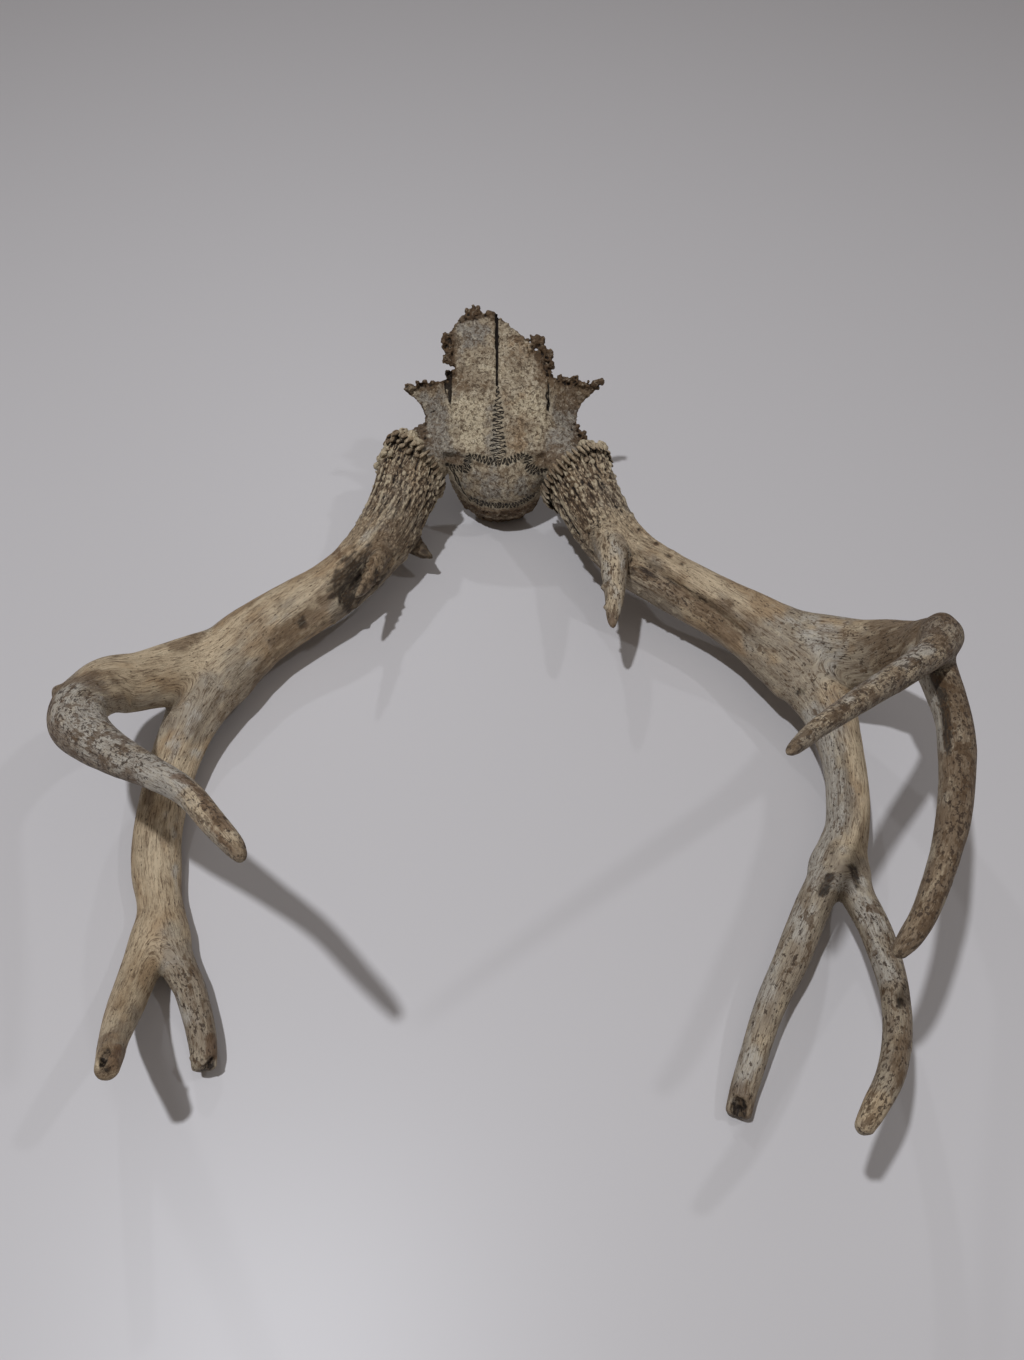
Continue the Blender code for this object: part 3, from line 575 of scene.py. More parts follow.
def pearl_ring_tree():
    tree = bpy.data.node_groups.new("pearl ring", "GeometryNodeTree")
    tree.interface.new_socket("Geometry", in_out="OUTPUT", socket_type="NodeSocketGeometry")
    for name, kind in PEARL_INPUTS:
        tree.interface.new_socket(name, in_out="INPUT", socket_type=kind)
    given = add_node(tree, "NodeGroupInput").outputs
    combined = "ShaderNodeCombineXYZ"
    by_chance = "FunctionNodeRandomValue"

    # A ring of places, each moved a little at random.
    ring = add_node(tree, "GeometryNodeMeshCircle", {
        "Vertices": given["Count"], "Radius": given["Ring Radius"]})
    less = add_node(tree, "ShaderNodeMath", {0: given["Scatter"], 1: -1.0}, operation="MULTIPLY").outputs[0]
    low = add_node(tree, combined, {axis: less for axis in "XYZ"}).outputs[0]
    high = add_node(tree, combined, {axis: given["Scatter"] for axis in "XYZ"}).outputs[0]
    stray = add_node(tree, by_chance, {"Min": low, "Max": high, "Seed": given["Seed"]},
                     data_type="FLOAT_VECTOR").outputs["Value"]
    moved = add_node(tree, "GeometryNodeSetPosition", {"Geometry": ring.outputs["Mesh"], "Offset": stray})

    # Each pearl faces away from the ring's middle and leans by the tilt.
    where = add_node(tree, "GeometryNodeInputPosition").outputs[0]
    x, y, _ = add_node(tree, "ShaderNodeSeparateXYZ", {0: where}).outputs
    bearing = add_node(tree, "ShaderNodeMath", {0: y, 1: x}, operation="ARCTAN2").outputs[0]
    turn = add_node(tree, combined, {"Y": given["Tilt"], "Z": bearing}).outputs[0]

    # Its size is the given one, made uneven at random.
    even = add_node(tree, combined, {"X": given["Pearl Radius"], "Y": given["Pearl Radius"],
                                     "Z": given["Pearl Length"]}).outputs[0]
    uneven = add_node(tree, by_chance, {"Min": SMALLEST_PEARL, "Max": LARGEST_PEARL, "Seed": given["Seed"]},
                      data_type="FLOAT_VECTOR").outputs["Value"]
    size = add_node(tree, "ShaderNodeVectorMath", {0: even, 1: uneven}, operation="MULTIPLY").outputs[0]

    pearl = add_node(tree, "GeometryNodeMeshIcoSphere", {"Subdivisions": 3}).outputs["Mesh"]
    onto = add_node(tree, "GeometryNodeInstanceOnPoints", {
        "Points": moved.outputs["Geometry"], "Instance": pearl, "Rotation": turn, "Scale": size})
    real = add_node(tree, "GeometryNodeRealizeInstances", {"Geometry": onto.outputs["Instances"]})
    finish = add_node(tree, "GeometryNodeSetMaterial", {
        "Geometry": real.outputs["Geometry"], "Material": given["Finish"]})
    add_node(tree, "NodeGroupOutput", {"Geometry": finish.outputs["Geometry"]})
    return tree


PEARL_RING = pearl_ring_tree()
print("pearl ring:", len(PEARL_RING.nodes), "nodes")

# %% Use the tree to make one ring as a mesh
def pearl_ring(*sizes):
    """A ring of pearls; the sizes are in the order of PEARL_INPUTS, and the finish comes at the end."""
    obj = new_object("pearls", bpy.data.meshes.new("pearls"))
    rings = obj.modifiers.new("rings", "NODES")
    rings.node_group = PEARL_RING
    identifiers = {socket.name: socket.identifier for socket in PEARL_RING.interface.items_tree}
    for (name, _), size in zip(PEARL_INPUTS, sizes):
        rings[identifiers[name]] = size
    return worked_in(obj)

# %% The burr's rings and nodules
BURR_RADIUS = 27.5
CROWN_RINGS = {     # (height over the burr, count, ring radius, pearl radius, length, scatter, tilt)
    "left": [
        (1.6, 34, BURR_RADIUS - 1.8, 1.75, 4.8, 0.5, 0.3),
        (7.0, 24, BURR_RADIUS - 4.4, 1.8, 2.6, 1.2, 0.3),
    ],
    "right": [
        (3.0, 40, BURR_RADIUS - 1.1, 1.55, 6.4, 0.25, 0.2),
        (9.5, 20, BURR_RADIUS - 5.0, 1.8, 2.4, 1.1, 0.3),
    ],
}
SUNK_RINGS = [
    (8.5, 22, BURR_RADIUS - 6.2, 1.8, 2.4, 0.9, 0.0), (13.0, 18, BURR_RADIUS - 7.0, 1.9, 2.8, 1.2, 0.0),
    (18.5, 14, BURR_RADIUS - 7.6, 1.8, 2.6, 1.3, 0.0),
]
COLLAR_RADII = (BURR_RADIUS - 4.6, BURR_RADIUS - 4.6, 4.0)
COLLAR_HEIGHT = 3.0
SUNK_SEED = 20          # how far the sunk pearls' seed lies above the crown's
CLUMPS = {          # a burr's largest nodules: (x, y, z, radius)
    "left": [
        (-79, 200.5, 64, 3.2), (-74, 197, 69, 3.4), (-68, 191.5, 71, 3.0), (-63.5, 185.5, 71, 2.6),
        (-78, 196, 61, 3.0), (-71.5, 189.5, 68, 2.6), (-80.5, 193, 55, 2.8), (-83, 191, 49, 2.6),
    ],
    "right": [
        (60, 189, 62, 4.6), (53, 187.5, 64.5, 4.2), (62, 193, 58, 3.2), (57, 184, 62, 3.2),
        (48.5, 186, 68, 3.0), (63, 186, 54, 3.0),
    ],
}


def pearls(rings, place, seed):
    """Rings of pearls as one mesh."""
    bm = bmesh.new()
    for k, (height, *sizes) in enumerate(rings):
        mesh = pearl_ring(*sizes, seed + k)
        mesh.transform(place @ Matrix.Translation((0, 0, height)))
        bm.from_mesh(mesh)
        bpy.data.meshes.remove(mesh)
    return as_mesh(bm, "pearls")


def add_burr(bm, place, clumps, seed):
    """The burr's collar, its largest nodules and the pearls that are sunk in the beam beyond it."""
    ball(bm, place @ Matrix.Translation((0, 0, COLLAR_HEIGHT)), COLLAR_RADII, 4)
    for *centre, radius in clumps:
        ball(bm, placed(centre), (radius,) * 3)
    bm.from_mesh(pearls(SUNK_RINGS, place, seed + SUNK_SEED))

# %% [markdown]
# ## The relief of antler
#
# Close to the burr the beam is knobbly, with long ridges and dark pits. Further out the ridges grow
# fine, and the tines are nearly smooth. So the relief is drawn in the branch's own terms, stretched
# along the branch, and it fades with the distance from the burr.

# %% Ridges, pearls and pits along a branch
BURR_ALONG = 17.0       # how far along the beam's route the burr stands, in mm
RUGGED_REACH = 84.0     # how far beyond the burr the rugged bark goes, in mm
RUGGED_FALL = 3.4       # how suddenly it ends there

# How large each form of the relief is, in mm across, across and along the branch.
SWAY_SIZE = (7, 7, 11)
RIDGE_SIZE = (3.1, 3.1, 24)
THREAD_SIZE = (1.6, 1.6, 7)
PEARL_SIZE = (3.1, 3.1, 4.2)
PIT_SIZE = (2.9, 2.9, 7.5)
GROUP_SIZE = (11, 11, 15)
SWELL_SIZE = (13, 13, 38)

# How far the grain sways, and how high or deep each form is at its most, in mm.
SWAY = 1.6
PEARL_HEIGHT = 1.35
PIT_DEPTH = 1.3
SWELL_HEIGHT = 0.35


def antler_relief(x, y, along):
    """Height of the relief, and how rugged the place is, for points in a branch's own terms."""
    out = np.maximum(along - BURR_ALONG, 0)
    rugged = np.exp(-(out / RUGGED_REACH) ** RUGGED_FALL)
    lean = 0.14 + 1.15 * rugged + 0.25 * bell(out, 170)
    place = np.column_stack([x, y, along])

    # The grain sways a little, so no ridge is straight.
    sway = [soft_noise(place / SWAY_SIZE, seed) for seed in (61, 62)]
    bent = place + SWAY * np.column_stack([*sway, 0 * x])
    ridge = 1 - 2 * np.abs(rough_noise(bent / RIDGE_SIZE, 2, 11))
    thread = rough_noise(place / THREAD_SIZE, 2, 23)

    # Pearls stand in loose groups near the burr, with narrow pits among them.
    gap, number = nearest_dot(bent / PEARL_SIZE, 5)
    pearl = np.clip(1 - 2.2 * gap ** 2, 0, 1) * (number > 0.3)
    grouped = step_up(rough_noise(place / GROUP_SIZE, 2, 7), -0.12, 0.22)
    pearl = pearl * (0.15 + 0.85 * grouped)
    hole, chance = nearest_dot(bent / PIT_SIZE, 8)
    pit = bell(hole, 0.32) * (chance > 0.5)
    swell = rough_noise(place / SWELL_SIZE, 2, 31)
    height = lean * (0.80 * ridge + 0.30 * thread) + PEARL_HEIGHT * rugged * pearl
    height -= (0.05 + PIT_DEPTH * rugged) * pit
    return height + SWELL_HEIGHT * swell, rugged


def spine_height(told, branches, shares, spines):
    """Height of the small pointed spines, listed by the branch that they stand on."""
    height = np.zeros(len(shares[0]))
    for branch, rows, part in zip(branches, told, shares):
        length = branch["along"][-1] - branch["along"][0]
        reach = np.hypot(rows[:, 0], rows[:, 1])
        for share, angle, tall, radius in spines.get(branch["name"], ()):
            turn = np.radians(turned_from(angle, rows[:, 4]))
            gap = np.hypot((rows[:, 3] - share) * length, reach * turn)
            height += part * tall * np.clip(1 - gap / (2.2 * radius), 0, 1) ** 1.3
    return height

# %% [markdown]
# ## Colour laid on by place
#
# One antler is cream on one side and grey on the other, brown in its hollows and orange where it
# lay on the ground. Each such area is a patch on a branch: its share from start to end, an angle
# and a spread in degrees, its kind and how strong it is. Noise makes the edges of patches ragged,
# and each kind has its colour, except the speckled kind, which tells the finish where to freckle.
# The darkest kind is part stain and part painted shade, on a deep channel's wall and near forks.

# %% Colours
def from_srgb(red, green, blue):
    """A colour given from 0 to 255, as the linear colour that a shader wants."""
    linear = [((c / 255 + 0.055) / 1.055) ** 2.4 if c > 10 else c / 3294 for c in (red, green, blue)]
    return (*linear, 1)


CREAM = from_srgb(206, 186, 154)
TAN = from_srgb(174, 148, 114)
GREY = from_srgb(152, 142, 125)
PALE_GREY = from_srgb(190, 184, 171)
BROWN_ANTLER = from_srgb(112, 90, 66)
BARK_TAN = from_srgb(104, 80, 54)
RUST_BROWN = from_srgb(104, 75, 50)
# Near black: part stain, part painted shade on a deep channel's wall and near forks.
DARK_STAIN_AND_SHADE = from_srgb(34, 26, 19)
GRAIN_BROWN = from_srgb(92, 71, 49)
BARK_BROWN = from_srgb(52, 38, 26)
SPECK = from_srgb(56, 41, 30)
# Near black: painted shade in the hollows and under the burr's pearls, and the dark of a broken core.
SHADE_AND_DIRT = from_srgb(26, 19, 14)
WORN = from_srgb(218, 202, 170)


def ragged(mask, places, size, seed):
    """A mask with its edge broken up by noise."""
    mixed = mask + 0.75 * rough_noise(places / size, 4, seed)
    return step_up(mixed, 0.25, 0.7) * step_up(mask, 0, 0.15)


def layer(ground, colour, mask):
    """Lay a colour over the ground where the mask says so."""
    return ground + mask[:, None] * (np.array(colour) - ground)

# %% The left antler's patches
WARM, PALE, STAIN_AND_SHADE, RUST, SPECKLED, BROWN, CREAMY = KINDS = range(7)
PAINTS = [      # kind, colour, strength and size of the ragged edge, in the order they are laid on
    (CREAMY, CREAM, 0.75, 9), (PALE, PALE_GREY, 0.85, 6), (BROWN, BROWN_ANTLER, 0.7, 6),
    (RUST, RUST_BROWN, 0.75, 3), (STAIN_AND_SHADE, DARK_STAIN_AND_SHADE, 0.92, 3),
]

LEFT_PATCHES = {        # by branch: (start, end, angle, spread, kind, strength)
    "beam": [
        (-0.1, 0.45, 90, 200, WARM, 0.35), (0.40, 1.1, 55, 70, WARM, 0.9),
        (0.05, 0.30, 20, 45, BROWN, 0.6), (0.12, 0.36, 150, 60, BROWN, 0.55),
        (-0.1, 0.14, 40, 45, BROWN, 0.8), (-0.1, 0.10, 140, 60, CREAMY, 1.2),
        (0.34, 0.46, 140, 40, BROWN, 0.9), (0.30, 0.46, 95, 25, PALE, 0.4),
        # painted shade and stain on the channel's wall beside the brow tine
        (0.45, 0.60, 146, 44, STAIN_AND_SHADE, 1.5), (0.49, 0.57, 66, 20, RUST, 0.55),
        (0.60, 1.0, 145, 40, BROWN, 0.7), (0.62, 1.0, 190, 40, WARM, 0.8),
        (0.74, 1.0, 110, 34, PALE, 0.2), (0.70, 0.73, 140, 10, STAIN_AND_SHADE, 0.9),
        (0.60, 0.80, 66, 40, CREAMY, 0.2),
    ],
    "brow": [
        (0.0, 1.1, 60, 90, WARM, 0.8), (0.0, 1.1, 90, 200, BROWN, 1.0), (0.55, 1.1, 150, 50, STAIN_AND_SHADE, 0.5),
        (0.2, 1.1, 90, 200, SPECKLED, 1.0),
    ],
    "spur": [
        (0.0, 1.1, 90, 200, BROWN, 1.0), (0.3, 1.1, 90, 200, STAIN_AND_SHADE, 0.75),
    ],
    "front": [
        (-0.1, 0.36, 60, 80, WARM, 1.0), (0.10, 0.19, 30, 40, BROWN, 0.6),
        (0.30, 0.40, 100, 60, BROWN, 0.5), (0.40, 0.86, 90, 200, PALE, 0.75),
        (0.38, 0.74, 60, 120, SPECKLED, 1.3), (0.38, 0.76, 340, 70, BROWN, 0.9),
        (0.50, 0.86, 140, 50, SPECKLED, 0.8), (0.72, 0.82, 75, 50, PALE, 1.0),
        (0.80, 0.84, 110, 22, RUST, 1.2), (0.845, 0.97, 124, 26, RUST, 1.2),
        (0.84, 1.1, 90, 200, SPECKLED, 0.9), (0.86, 1.1, 90, 200, WARM, 0.25),
        (0.89, 0.96, 92, 12, RUST, 0.8), (0.94, 1.0, 60, 14, RUST, 0.7),
        (0.980, 1.1, 90, 200, BROWN, 1.0), (0.84, 1.1, 100, 70, CREAMY, 0.9),
        (-0.1, 0.30, 60, 80, CREAMY, 0.85),
    ],
    "rear": [
        (-0.1, 0.42, 120, 60, PALE, 0.25), (0.0, 0.36, 160, 50, BROWN, 0.35),
        (0.32, 1.1, 90, 200, WARM, 0.9), (0.0, 0.5, 190, 30, WARM, 0.7),
        (0.40, 1.1, 100, 80, CREAMY, 0.65), (0.40, 0.8, 140, 24, PALE, 0.25),
        (0.42, 0.54, 70, 30, BROWN, 0.8),
    ],
    "outer": [
        (-0.1, 1.1, 90, 200, WARM, 0.6), (0.0, 0.8, 60, 80, CREAMY, 0.7),
        (0.76, 1.1, 90, 200, BROWN, 0.5), (0.80, 1.1, 60, 80, CREAMY, 0.4),
        (0.90, 1.1, 150, 70, RUST, 0.8),
    ],
    "inner": [
        (0.3, 0.9, 90, 200, PALE, 0.3), (0.35, 1.1, 90, 200, SPECKLED, 0.85),
        (0.84, 0.97, 140, 34, RUST, 1.4), (0.3, 1.0, 160, 40, BROWN, 0.35),
    ],
}

# %% The right antler's patches
RIGHT_PATCHES = {
    "beam": [
        (-0.1, 0.45, 90, 200, WARM, 0.35), (0.36, 1.0, 120, 60, WARM, 0.95),
        (0.10, 0.38, 40, 40, BROWN, 0.4), (0.10, 0.30, 120, 40, BROWN, 0.3),
        (0.42, 0.80, 40, 24, BROWN, 0.8), (0.42, 0.75, 36, 26, SPECKLED, 0.9),
        (-0.1, 0.09, 90, 200, CREAMY, 1.3), (0.30, 0.46, 90, 50, CREAMY, 1.0),
        (0.47, 0.53, 45, 5, STAIN_AND_SHADE, 0.7), (0.52, 0.60, 54, 4, STAIN_AND_SHADE, 0.6), (0.58, 0.70, 62, 2.5, STAIN_AND_SHADE, 0.5),
        (0.68, 0.95, 66, 2, STAIN_AND_SHADE, 0.35), (0.46, 0.68, 105, 40, CREAMY, 0.8),
        (0.43, 0.52, 30, 16, STAIN_AND_SHADE, 0.5), (0.392, 0.404, 115, 8, RUST, 1.5),
        (0.464, 0.478, 117, 8, RUST, 1.5), (0.512, 0.530, 101, 9, RUST, 1.5),
        (0.558, 0.570, 102, 7, RUST, 1.5), (0.394, 0.402, 115, 5, STAIN_AND_SHADE, 1.3),
        (0.466, 0.476, 117, 5, STAIN_AND_SHADE, 1.3), (0.515, 0.527, 101, 5, STAIN_AND_SHADE, 1.3),
        (0.560, 0.568, 102, 4, STAIN_AND_SHADE, 1.3), (0.62, 1.0, 20, 40, WARM, 0.8),
        (0.70, 1.0, 60, 50, BROWN, 0.4),
    ],
    "brow": [
        (-0.1, 0.9, 90, 200, PALE, 0.3), (0.1, 0.6, 150, 50, BROWN, 0.5), (0.90, 1.1, 90, 200, RUST, 0.8),
        (0.0, 1.0, 90, 200, SPECKLED, 0.7), (0.1, 0.9, 80, 50, CREAMY, 0.9),
    ],
    "front": [
        (-0.1, 0.5, 90, 90, PALE, 0.55), (0.0, 0.7, 90, 80, SPECKLED, 0.55),
        (0.3, 1.1, 160, 50, WARM, 0.6), (0.62, 1.1, 90, 200, BROWN, 0.9),
        (0.7, 1.1, 90, 200, SPECKLED, 0.6),
    ],
    "rear": [
        (-0.1, 0.34, 90, 80, SPECKLED, 0.6), (0.3, 1.1, 30, 50, PALE, 0.8),
        (0.34, 1.1, 50, 30, SPECKLED, 0.6), (0.3, 1.1, 130, 60, WARM, 1.0),
        (0.3, 1.1, 120, 50, CREAMY, 0.6), (0.0, 0.3, 160, 60, BROWN, 0.4), (0.27, 0.29, 46, 9, STAIN_AND_SHADE, 1.6),
    ],
    "one": [
        (-0.1, 0.24, 90, 200, BROWN, 0.5), (0.0, 1.1, 90, 200, SPECKLED, 1.0),
        (0.20, 0.92, 70, 90, CREAMY, 0.75), (0.30, 0.90, 90, 200, BROWN, 0.35),
        (0.25, 0.38, 60, 50, PALE, 1.3), (0.345, 0.362, 112, 12, STAIN_AND_SHADE, 1.5),
        (0.36, 0.85, 40, 60, PALE, 0.55), (0.95, 1.1, 90, 200, BROWN, 0.7),
        (0.30, 0.95, 350, 45, BROWN, 0.7),
    ],
    "two": [
        (-0.1, 1.1, 120, 70, BROWN, 0.8), (-0.1, 0.45, 5, 40, PALE, 0.9), (0.14, 0.30, 52, 17, STAIN_AND_SHADE, 1.7),
        (0.28, 0.45, 42, 13, STAIN_AND_SHADE, 1.6), (0.1, 1.1, 110, 100, SPECKLED, 1.0),
        (0.45, 1.1, 20, 60, BROWN, 0.6), (0.55, 1.0, 70, 40, CREAMY, 0.4),
        (0.93, 1.1, 90, 200, BROWN, 0.6),
    ],
    "inner": [
        (0.0, 1.0, 50, 90, PALE, 0.45), (0.1, 1.1, 90, 200, SPECKLED, 0.5),
        (0.3, 0.95, 110, 60, CREAMY, 0.4), (0.15, 0.23, 96, 12, STAIN_AND_SHADE, 3.0),
        (0.92, 1.1, 90, 200, BROWN, 0.7),
    ],
    "outer": [
        (0.08, 0.17, 78, 12, STAIN_AND_SHADE, 2.0), (0.1, 0.55, 60, 60, PALE, 0.7), (0.5, 0.9, 90, 200, BROWN, 0.2),
        (0.2, 1.1, 90, 200, SPECKLED, 0.75), (0.6, 0.64, 84, 18, STAIN_AND_SHADE, 1.4),
        (0.93, 1.1, 90, 200, WARM, 0.8), (0.66, 0.90, 110, 40, BROWN, 0.45),
    ],
}
patch_counts = [sum(map(len, patches.values())) for patches in (LEFT_PATCHES, RIGHT_PATCHES)]
print("patches on the left and on the right:", patch_counts)

# %% Lay the patches on a skin
COLLAR_TOP = (2.5, 6.0)     # how far along from the burr the painted shade between its pearls fades out, in mm
COLLAR_EDGE = (23.8, 25.2)  # and how far out from the beam's middle


def patch_masks(branches, told, shares, patches):
    """One mask over the skin for each kind of patch."""
    masks = np.zeros((len(shares[0]), len(KINDS)))
    for branch, rows, part in zip(branches, told, shares):
        for start, end, middle, spread, kind, strength in patches.get(branch["name"], ()):
            away = turned_from(middle, rows[:, 4])
            soft = min(0.25 * (end - start), 0.06)
            length = step_up(rows[:, 3], start - soft, start + soft)
            length *= 1 - step_up(rows[:, 3], end - soft, end + soft)
            masks[:, kind] += part * strength * length * bell(away, spread)
    return np.clip(masks, 0, 1)


def collar_shade(own):
    """1 on the collar under the burr's pearls, where painted shade darkens the gaps between them."""
    low = 1 - step_up(own[:, 2] - BURR_ALONG, *COLLAR_TOP)
    return low * (1 - step_up(np.hypot(own[:, 0], own[:, 1]), *COLLAR_EDGE))


def antler_ground(own, masks, rugged):
    """The ground colour of antler: tan to cream, grey where it isn't warm, then the patches."""
    place = own * (1, 1, 0.55)
    cloud = step_up(rough_noise(own * (0.14, 0.14, 0.04), 4, 81), -0.35, 0.35)
    ground = layer(np.tile(TAN, (len(own), 1)), CREAM, cloud)
    ground = layer(ground, GREY, 0.78 - 0.70 * ragged(masks[:, WARM], place, 11, 82))
    bark = step_up(rough_noise(own * (0.13, 0.13, 0.05), 4, 89), -0.02, 0.22)
    ground = layer(ground, BARK_TAN, 0.65 * rugged * bark)
    for kind, colour, strength, size in PAINTS:
        ground = layer(ground, colour, strength * ragged(masks[:, kind], place, size, 83 + kind))
    return ground

# %% [markdown]
# ## Growing one antler
#
# The steps are the same on both sides: draw every branch as a tube, fuse the tubes, settle them on
# the soft sum, break the tines that are broken, add the burr, fuse again more finely, and raise
# the relief. The last step keeps what the finish will need on the mesh as attributes.

# %% Draw a branch as a tube
def tube(bm, branch, sides=28):
    """Draw a closed tube round a branch."""
    turns = np.arange(sides) * math.tau / sides
    rings = []
    for centre, broad, narrow, half in zip(*(branch[key] for key in ("centre", "broad", "narrow", "half"))):
        places = (centre + np.outer(np.cos(turns) * half[0], broad)
                  + np.outer(np.sin(turns) * half[1], narrow))
        rings.append([bm.verts.new(place) for place in places])
    for one, two in zip(rings, rings[1:]):
        for k in range(sides):
            n = (k + 1) % sides
            bm.faces.new((one[k], one[n], two[n], two[k]))
    bm.faces.new(list(reversed(rings[0])))
    bm.faces.new(rings[-1])

# %% Fuse the branches and settle their skin
COARSE = 1.3            # voxel size of the first fusing, in mm
FINE = 0.9              # and of the second, with the burr on
SETTLING_ROUNDS = 5
LONGEST_SLIDE = 1.5     # how far a corner may move in one round, in mm


def drawn_skin(branches, knobs):
    """The branches and knobs as one skin that lies on their soft sum."""
    bm = bmesh.new()
    for branch in branches:
        tube(bm, branch)
    for *centre, radius in knobs:
        ball(bm, placed(centre), (radius,) * 3, 2)
    skin = fused(as_mesh(bm, "branches"), COARSE)
    for _ in range(SETTLING_ROUNDS):
        points = corners(skin)
        depth = skin_depth(points, branches, knobs)[0]
        slide = np.clip(depth, -LONGEST_SLIDE, LONGEST_SLIDE)
        move_corners(skin, points - outward(skin) * slide[:, None])
    return skin

# %% Cut the foot and break the tines' ends
def foot_cut(mesh, centre, axis):
    """Cut the beam square at the burr, where the skull's stump begins."""
    bm = bmesh.new()
    bm.from_mesh(mesh)
    cut = bmesh.ops.bisect_plane(bm, geom=[*bm.verts, *bm.edges, *bm.faces], plane_co=centre,
                                 plane_no=axis, clear_inner=True)
    rim = [edge for edge in cut["geom_cut"] if isinstance(edge, bmesh.types.BMEdge)]
    bmesh.ops.edgeloop_fill(bm, edges=rim)
    bmesh.ops.recalc_face_normals(bm, faces=bm.faces)
    bm.to_mesh(mesh)
    bm.free()


def broken_off(mesh, breaks):
    """Cut rough hollows into a mesh, each a lumpy ball: a place, its radii and the way it points."""
    obj = new_object("break", mesh)
    cutters = []
    for centre, radii, axis in breaks:
        bm = bmesh.new()
        ball(bm, placed(centre, axis), radii, 4)
        shape = as_mesh(bm, "hollow")
        places = corners(shape)
        swell = 1 + 0.3 * rough_noise(places / 3.0, 2, 3)
        move_corners(shape, np.array(centre) + (places - centre) * swell[:, None])
        cutters.append(new_object("hollow", shape))
        cut = obj.modifiers.new("hollow", "BOOLEAN")
        cut.operation = "DIFFERENCE"
        cut.object = cutters[-1]
    return worked_in(obj, *cutters)

# %% Thin a skin and keep its looks
MOST_TRIANGLES = 190000


def thinned(mesh, one, two):
    """The same skin with fewer faces where it is plain, and two values that its corners keep."""
    store(mesh, "kept", "FLOAT_VECTOR", np.column_stack([one, two, 0 * one]))
    count = sum(len(face.vertices) - 2 for face in mesh.polygons)
    if count > MOST_TRIANGLES:
        obj = new_object("thin", mesh)
        thin = obj.modifiers.new("thin", "DECIMATE")
        thin.ratio = MOST_TRIANGLES / count
        thin.use_collapse_triangulate = True
        mesh = worked_in(obj)
    one, two, _ = triples(mesh.attributes["kept"].data, "vector").T
    mesh.attributes.remove(mesh.attributes["kept"])
    return mesh, one, two


def own_places(told, shares):
    """Each point's x, y and along, mixed from the branches that share it."""
    return np.stack([rows[:, :3] * part[:, None] for rows, part in zip(told, shares)]).sum(0)


def keep_looks(mesh, antler, hollow, broken, collar_shading, bark):
    """Store what the finish needs; collar shading says how dark the painted shade on the collar is, bark how
    much bark is drawn.
    """
    branches = antler["branches"]
    told, shares = skin_depth(corners(mesh), branches, [])[1:]
    own = own_places(told, shares)
    rugged = antler_relief(*own.T)[1] * shares[0]
    masks = patch_masks(branches, told, shares, antler["patches"])
    # Painted shade: the collar under the pearls is darkened so the gaps between them look deep.
    ground = layer(antler_ground(own, masks, rugged), SHADE_AND_DIRT, collar_shading * collar_shade(own))
    # The hollow channel tells the finish where to paint shade in the hollows and wear on the crests.
    wear_and_shade = [bark * rugged, 0.5 + 0.5 * hollow, masks[:, SPECKLED], broken]
    store(mesh, "grain", "FLOAT_VECTOR", own)
    store(mesh, "ground", "FLOAT_COLOR", ground)
    store(mesh, "wear_and_shade", "FLOAT_COLOR", np.column_stack(wear_and_shade))

# %% What each antler is grown from
def grow_tree(furrows, **routes):
    """Branches by name, each with its parent's name and its stations, parents first."""
    grown = {}
    for name, (parent, stations) in routes.items():
        grown[name] = grow_branch(name, stations, furrows.get(name, ()), grown.get(parent))
    return list(grown.values())


ANTLERS = {         # a break is a place, three radii and the way it points; a burr a place and its axis
    "left": {
        "branches": grow_tree(
            LEFT_FURROWS, beam=(None, LEFT_BEAM), rear=("beam", LEFT_REAR), front=("beam", LEFT_FRONT),
            outer=("rear", LEFT_OUTER_TINE), inner=("rear", LEFT_INNER_TINE), brow=("beam", LEFT_BROW),
            spur=("beam", LEFT_SPUR)),
        "burr": ((-65.5, 191.5, 47), (-0.70, -0.70, -0.15)),
        "breaks": [
            ((-173, -233, 83), (6.5, 4.0, 3.6), (0, -0.6, 0.8)),
            ((-175, -220.5, 77), (2.4, 3.6, 10.5), (0.2, -0.84, 0.52)),
            ((-144, -211, 15), (5, 5, 8), (0.3, -1, 0))],
        "knobs": LEFT_KNOBS, "spines": LEFT_SPINES, "patches": LEFT_PATCHES, "seed": 1,
    },
    "right": {
        "branches": grow_tree(
            RIGHT_FURROWS, beam=(None, RIGHT_BEAM), rear=("beam", RIGHT_REAR), front=("beam", RIGHT_FRONT),
            one=("front", RIGHT_TINE_ONE), two=("front", RIGHT_TINE_TWO), inner=("rear", RIGHT_INNER_TINE),
            outer=("rear", RIGHT_OUTER_TINE), brow=("beam", RIGHT_BROW)),
        "burr": ((42, 181.5, 46.5), (0.58, -0.80, -0.15)),
        "breaks": [((108, -229, 14), (5.2, 5.2, 8), (0, -0.8, 0.6))],
        "knobs": RIGHT_KNOBS, "spines": RIGHT_SPINES, "patches": RIGHT_PATCHES, "seed": 7,
    },
}
for side, antler in ANTLERS.items():
    print(side, "antler's branches:", ", ".join(branch["name"] for branch in antler["branches"]))

# %% Grow both antlers and their crowns
COLLAR_SHADE_STRENGTH = 0.92      # how dark the painted shade on the collar under the crown is
CROWN_BARK = 0.35       # how much bark is drawn on the crown's own pearls


